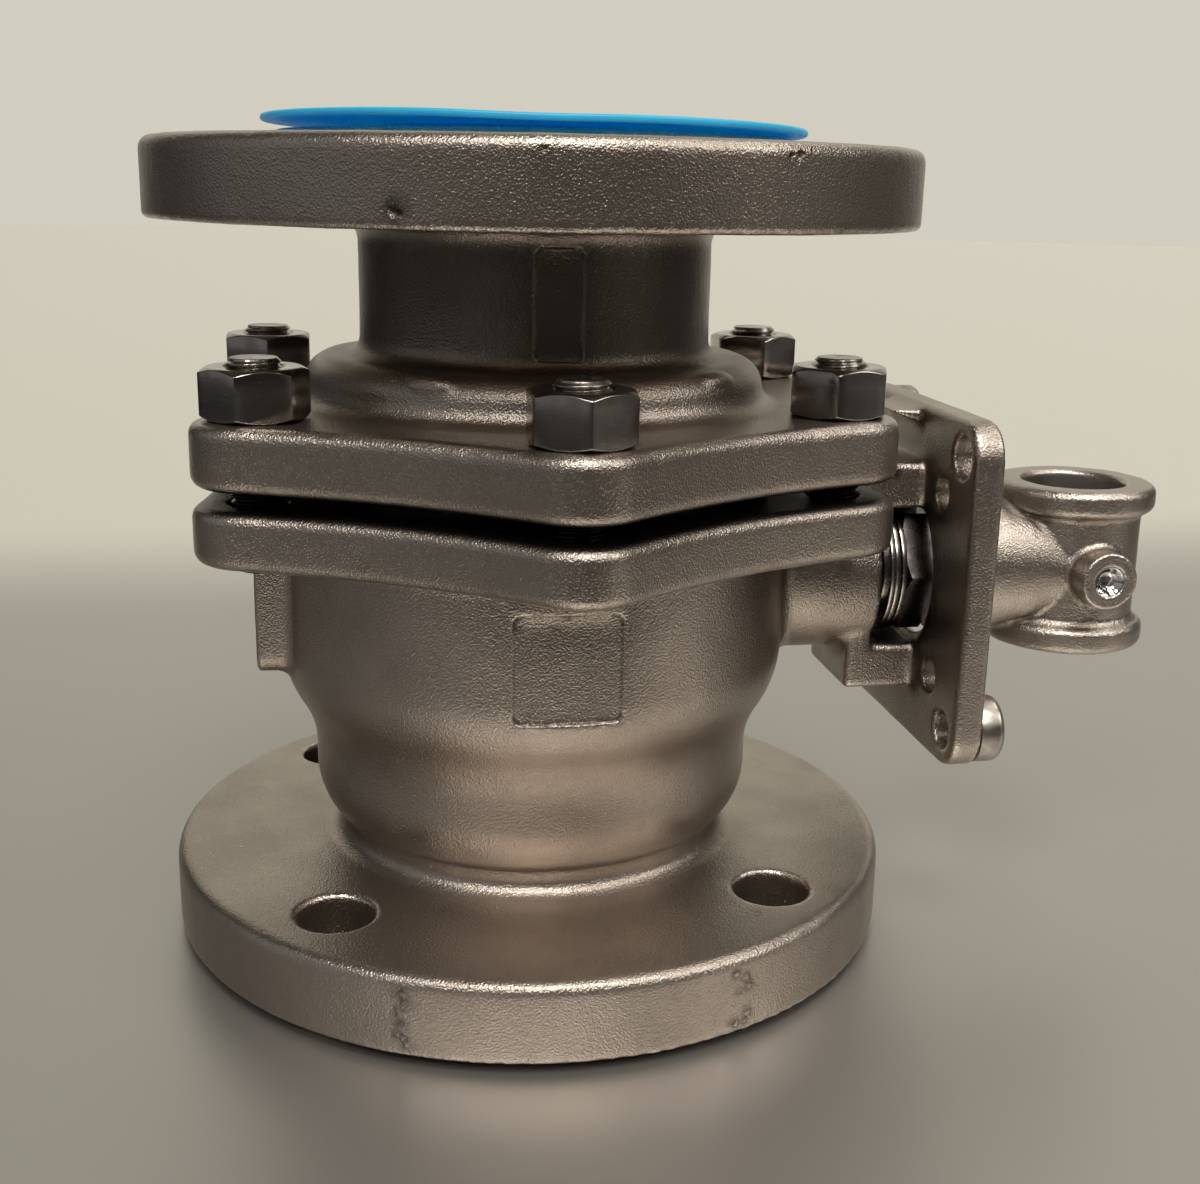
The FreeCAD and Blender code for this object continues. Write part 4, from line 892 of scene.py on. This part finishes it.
def nut_ring_tree():
    """Copies one nut to each stud; every other nut is turned by Odd Turn, and all by a little more."""
    tree, given, result = new_ring_tree("nut_ring", (
        ("Odd Turn", FLOAT, 0.0), ("Loose Turn", FLOAT, 0.0), ("Height", FLOAT, 0.0)))
    points, angle, number = ring_places(tree, given, given["Height"])
    odd = times(tree, sum_of(tree, "MODULO", number, 2.0), given["Odd Turn"])
    loose = random_turn(tree, given, times(tree, given["Loose Turn"], -1.0), given["Loose Turn"])
    turn = plus(tree, angle, sum_of(tree, "RADIANS", plus(tree, odd, loose)))
    copy_to_points(tree, given, result, given["Geometry"], points, turn)
    return tree


def threaded_stud_tree():
    """A bar with a helical thread and coned ends, copied to each place round the bore."""
    tree, given, result = new_ring_tree("threaded_studs", (
        ("Radius", FLOAT, 0.006), ("Bottom", FLOAT, 0.0), ("Top", FLOAT, 0.05), ("Pitch", FLOAT, 0.002),
        ("Thread Depth", FLOAT, 0.001), ("End Chamfer", FLOAT, 0.001), ("Sides", "NodeSocketInt", 40)))
    length = sum_of(tree, "SUBTRACT", given["Top"], given["Bottom"])
    steps = sum_of(tree, "CEIL", times(tree, sum_of(tree, "DIVIDE", length, given["Pitch"]), 8.0))
    bar = add_node(tree, "GeometryNodeMeshCylinder", {
        "Vertices": given["Sides"], "Side Segments": steps, "Radius": given["Radius"], "Depth": length})
    place = add_node(tree, "ShaderNodeSeparateXYZ", {
        "Vector": add_node(tree, "GeometryNodeInputPosition").outputs[0]}).outputs
    above = plus(tree, place["Z"], times(tree, length, 0.5))
    turns = sum_of(tree, "SUBTRACT", sum_of(tree, "DIVIDE", above, given["Pitch"]),
                   sum_of(tree, "DIVIDE", sum_of(tree, "ARCTAN2", place["Y"], place["X"]), 2 * math.pi))
    middle = sum_of(tree, "SUBTRACT", sum_of(tree, "FRACT", turns), 0.5)
    vee = times(tree, sum_of(tree, "ABSOLUTE", middle), 2.0)
    flank = add_node(tree, "ShaderNodeMapRange", {0: vee, 1: 0.12, 2: 0.86}).outputs[0]
    end = sum_of(tree, "MINIMUM", above, sum_of(tree, "SUBTRACT", length, above))
    cone = plus(tree, sum_of(tree, "SUBTRACT", given["Radius"], given["End Chamfer"]), end)
    groove = sum_of(tree, "SUBTRACT", given["Radius"], times(tree, flank, given["Thread Depth"]))
    scale = sum_of(tree, "DIVIDE", sum_of(tree, "MINIMUM", groove, cone), given["Radius"])
    threaded = add_node(tree, "ShaderNodeCombineXYZ", {
        "X": times(tree, place["X"], scale), "Y": times(tree, place["Y"], scale),
        "Z": plus(tree, above, given["Bottom"])}).outputs[0]
    cut = add_node(tree, "GeometryNodeSetPosition", {"Geometry": bar.outputs["Mesh"],
                                                     "Position": threaded}).outputs[0]
    stud = add_node(tree, "GeometryNodeSetShadeSmooth", {
        "Geometry": cut, "Selection": bar.outputs["Side"]}).outputs[0]
    points, _, _ = ring_places(tree, given, 0.0)
    copy_to_points(tree, given, result, stud, points, random_turn(tree, given, 0.0, 2 * math.pi))
    return tree


def grown(mesh, tree, values):
    """Runs a Geometry Nodes tree on a mesh; values go to its inputs by their identifiers."""
    sockets = {item.name: item.identifier for item in tree.interface.items_tree
               if item.item_type == "SOCKET" and item.in_out == "INPUT"}
    settings = {sockets[name]: value for name, value in values.items()}
    return plain_result(mesh, ("NODES", {"node_group": tree, **settings}))


def dress_fasteners():
    circle = {"Count": STUD_COUNT, "Circle Radius": STUD_CIRCLE_RADIUS * MM, "First Angle": FIRST_STUD}
    low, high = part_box("stud_nuts")
    nuts = grown(one_nut(NUT_FLATS, (high.z - low.z) / MM, NUT_BORE_RADIUS), nut_ring_tree(), {
        **circle, "Odd Turn": -17.0, "Loose Turn": 1.2, "Height": low.z, "Seed": 4, "Material": NUT_STEEL})
    add_edge_masks(nuts, 1, 0.5)
    nuts.set_sharp_from_angle(angle=math.radians(24))
    new_piece("nut_set", nuts, "casing", ["stud_nuts"], [NUT_STEEL])

    low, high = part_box("studs")
    studs = grown(bpy.data.meshes.new("empty"), threaded_stud_tree(), {
        **circle, "Radius": STUD_RADIUS * MM, "Bottom": low.z, "Top": high.z, "Pitch": 1.75 * MM,
        "Thread Depth": 0.95 * MM, "End Chamfer": 1.1 * MM, "Sides": 40, "Seed": 3,
        "Material": STUD_STEEL})
    add_edge_masks(studs, 0, 0.6)
    heights = read_points(studs)[:, 2] / MM
    # painted shade on the studs inside the split joint and the flange holes, with old grease
    set_mask(studs, "grime_and_shade", 1 - soft_step(heights, CAP_FACE, CAP_FACE + 2.0))
    new_piece("stud_set", studs, "casing", ["studs"], [STUD_STEEL])


# Small turned and pressed pieces
def crisp_copy(name, node, body, finish, edge):
    """A copy of a small piece with its edges broken by so many millimetres."""
    mesh = plain_result(
        joined_copy(node),
        ("DECIMATE", {"decimate_type": "DISSOLVE", "angle_limit": math.radians(0.6)}),
        ("BEVEL", {"width": edge * MM, "segments": 2, "limit_method": "ANGLE",
                   "angle_limit": math.radians(28), "use_clamp_overlap": True}),
        ("TRIANGULATE", {}),
    )
    add_edge_masks(mesh, 0, 0.8)
    smooth(mesh)
    mesh.set_sharp_from_angle(angle=math.radians(26))
    new_piece(name, mesh, body, [node], [finish])


def dress_small_pieces():
    for name, node, body, slot_name, finish, edge in (
            ("stem_shaft", "stem", "stem_and_lever", "bright_steel", WASHER_STEEL, 0.2),
            ("gland_sleeve", "gland_follower", "casing", "bright_steel", WASHER_STEEL, 0.15),
            ("dished_washers", "spring_washers", "stem_and_lever", "bright_steel", WASHER_STEEL, 0.12),
            ("tab_washer", "lock_washer", "stem_and_lever", "bright_steel", WASHER_STEEL, 0.12),
            ("gland_nut", "stem_nut", "stem_and_lever", "nut_steel", GLAND_STEEL, 0.3),
            ("stop_arm", "stop_plate", "stem_and_lever", "bright_steel", STOP_STEEL, 0.25),
            ("stop_pins", "stop_screws", "casing", "screw_steel", STOP_STEEL, 0.3),
            ("lever_grub_screw", "lever_set_screw", "stem_and_lever", "screw_steel", BRIGHT_SCREW, 0.25),
            ("hub_grub_screw", "hub_set_screw", "stem_and_lever", "screw_steel", BRIGHT_SCREW, 0.25)):
        crisp_copy(name, node, body, finish, edge)


# Cover
def cover_underside(x, y):
    """The height of the cover's underside in mm: it lies askew, and its rim dips and rises a little."""
    across, angle = math.hypot(x, y), math.degrees(math.atan2(y, x))
    slope = math.tan(COVER_TILT) * (x * math.cos(COVER_HIGH_SIDE) + y * math.sin(COVER_HIGH_SIDE))
    dip = -0.55 * math.exp(-((angle + 97) / 16) ** 2)
    rise = 0.35 * math.exp(-((angle + 20) / 40) ** 2)
    return COVER_MIDDLE + slope + (dip + rise) * max(0.0, (across - 40) / 27) ** 2


def cover_profile():
    """The cover's section from the axis over the rim and the plug's wall, as (radius, height) in mm."""
    edge, plug, inside = 67.0, 37.3, 35.7
    thick, crown, depth = 1.5, 0.6, 14.0
    top = [(across, thick) for across in (0.0, 12.0, 24.0, 34.0, 37.5, 42.0, 50.0, 58.0, 63.0, edge - 1.6)]
    turns = [math.radians(turn) for turn in (0, 25, 50, 75, 90)]
    arc = [(1 - math.sin(turn), 1 - math.cos(turn)) for turn in turns]
    rim = [(edge - crown * beside, thick - crown * along) for beside, along in arc]
    rim += [(edge - crown * along, crown * beside) for beside, along in arc]
    under = [(63.0, 0.0), (55.0, 0.0), (46.0, 0.0), (plug + 1.0, 0.0), (plug, -0.8),
             (plug, 0.6 - depth), (plug - 0.4, -depth), (inside + 0.4, -depth), (inside, 0.5 - depth),
             (inside, -0.9), (inside - 0.8, 0.0), (20.0, 0.0), (8.0, 0.0)]
    return top + rim + under


def dress_cover():
    """The thin blue cover, a sheet with a hollow plug under it."""
    columns = 180
    mesh = bpy.data.meshes.new("cover")
    with edited(mesh) as shape:
        rings = []
        for across, rise in cover_profile():
            if across == 0.0:
                rings.append([shape.verts.new((0, 0, (cover_underside(0, 0) + rise) * MM))] * columns)
                continue
            ring = []
            for step in range(columns):
                angle = 2 * math.pi * step / columns
                x, y = across * math.cos(angle), across * math.sin(angle)
                ring.append(shape.verts.new((x * MM, y * MM, (cover_underside(x, y) + rise) * MM)))
            rings.append(ring)
        join_rings(shape, rings)
        shape.faces.new(rings[-1])
        bmesh.ops.recalc_face_normals(shape, faces=shape.faces)
    smooth(mesh)
    mesh.set_sharp_from_angle(angle=math.radians(50))
    keep_in_box(mesh, "flange_cover")
    new_piece("blue_cover", mesh, "cover", ["flange_cover"], [BLUE_COVER])


# CAD nodes that are shown as they are
def finish_inner_pieces():
    for node, finish in (("ball", BALL_STEEL), ("lower_seat", SEAT_POLYMER), ("upper_seat", SEAT_POLYMER),
                         ("body_gasket", GRAPHITE), ("stem_thrust_washer", SEAT_POLYMER),
                         ("packing_rings", SEAT_POLYMER)):
        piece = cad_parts[node]
        for place in piece.material_slots:
            place.link = "OBJECT"
            place.material = finish


# Floor, light and camera
def set_stage():
    """A pale satin table with painted shade outside the picture, and a dim room with a pale wall behind the
    valve.
    """
    shape = bmesh.new()
    bmesh.ops.create_circle(shape, cap_ends=True, segments=96, radius=6.0)
    mesh = bpy.data.meshes.new("floor")
    shape.to_mesh(mesh)
    shape.free()
    floor = bpy.data.objects.new("floor", mesh)
    floor.location.z = -0.0003
    bpy.context.scene.collection.objects.link(floor)
    finish, tree, sockets = new_finish("pale_floor", Metallic=0.85, Roughness=0.4)
    place = add_node(tree, "ShaderNodeSeparateXYZ", {
        "Vector": add_node(tree, "ShaderNodeTexCoord").outputs["Object"]}).outputs
    # painted shade: the table turns dark in front and to the sides, standing for the dark room that the metal
    # reflects
    left = plus(tree, place["X"], times(tree, place["Y"], 0.21))
    right = sum_of(tree, "SUBTRACT", place["X"], times(tree, place["Y"], 0.6))
    shown = times(tree, ease(tree, place["Y"], -0.3, -0.17), ease(tree, left, -0.6, -0.34))
    shown = times(tree, shown, sum_of(tree, "SUBTRACT", 1.0, ease(tree, right, 0.4, 0.7)))
    pale = blend_colours(tree, ease(tree, place["Y"], 0.28, 0.5), (0.5, 0.48, 0.45, 1),
                         (0.9, 0.88, 0.8, 1))
    tree.links.new(blend_colours(tree, shown, (0.05, 0.047, 0.042, 1), pale), sockets["Base Color"])
    mesh.materials.append(finish)

    world = bpy.data.worlds.new("room")
    bpy.context.scene.world = world
    world.use_nodes = True
    tree = world.node_tree
    background = tree.nodes["Background"]
    way = add_node(tree, "ShaderNodeTexCoord").outputs["Generated"]
    room = (0.03, 0.027, 0.024, 1)
    for towards, edge, full, colour in (
            ((-0.94, -0.3, 0.12), 0.6, 0.9, (0.24, 0.24, 0.245, 1)),
            ((0.95, -0.25, 0.15), 0.6, 0.9, (0.12, 0.115, 0.105, 1)),
            ((0.16, 0.92, 0.35), 0.7, 0.86, (0.64, 0.615, 0.53, 1))):
        near = add_node(tree, "ShaderNodeVectorMath", {0: way, 1: towards},
                        operation="DOT_PRODUCT").outputs["Value"]
        room = blend_colours(tree, ease(tree, near, edge, full), room, colour)
    tree.links.new(room, background.inputs["Color"])
    background.inputs["Strength"].default_value = 1.0


def add_lamp(name, towards, strength, spread, colour):
    """A far, soft lamp that shines from a direction; spread is its width in degrees."""
    lamp = bpy.data.lights.new(name, "SUN")
    lamp.energy = strength
    lamp.angle = math.radians(spread)
    lamp.color = colour
    holder = bpy.data.objects.new(name, lamp)
    holder.rotation_euler = Vector(towards).to_track_quat("Z", "Y").to_euler()
    bpy.context.scene.collection.objects.link(holder)


def set_lights():
    add_lamp("ceiling_light", (0.05, -0.41, 0.91), 1.3, 22.0, (1.0, 0.96, 0.9))
    add_lamp("front_light", (0.047, -0.741, 0.67), 0.56, 14.0, (1.0, 0.96, 0.91))
    add_lamp("right_light", (0.68, -0.39, 0.62), 0.8, 30.0, (1.0, 0.95, 0.89))
    add_lamp("left_light", (-0.395, -0.571, 0.72), 0.6, 14.0, (1.0, 0.97, 0.93))
    add_lamp("side_light", (0.47, 0.17, 0.87), 0.45, 25.0, (1.0, 0.96, 0.92))


def set_camera():
    """The photograph's viewpoint, worked out from the valve's own dimensions."""
    yaw, pitch, roll = math.radians(9.87), math.radians(15.04), math.radians(-1.1)
    forward = Vector((math.sin(yaw) * math.cos(pitch), math.cos(yaw) * math.cos(pitch), -math.sin(pitch)))
    right = Vector((math.cos(yaw), -math.sin(yaw), 0.0))
    down = forward.cross(right)
    across = right * math.cos(roll) + down * math.sin(roll)
    below = down * math.cos(roll) - right * math.sin(roll)
    lens = bpy.data.cameras.new("camera")
    lens.sensor_width = 36.0
    lens.lens = 36.0 * 1519 / 1200
    lens.clip_start, lens.clip_end = 0.01, 50.0
    camera = bpy.data.objects.new("camera", lens)
    axes = Matrix((across, -below, -forward)).transposed().to_4x4()
    camera.matrix_world = Matrix.Translation((-0.04976, -0.39115, 0.192)) @ axes
    bpy.context.scene.collection.objects.link(camera)
    bpy.context.scene.camera = camera


dress_castings()
dress_fasteners()
dress_small_pieces()
dress_cover()
finish_inner_pieces()
set_stage()
set_lights()
set_camera()
bpy.context.scene.view_settings.view_transform = "Standard"
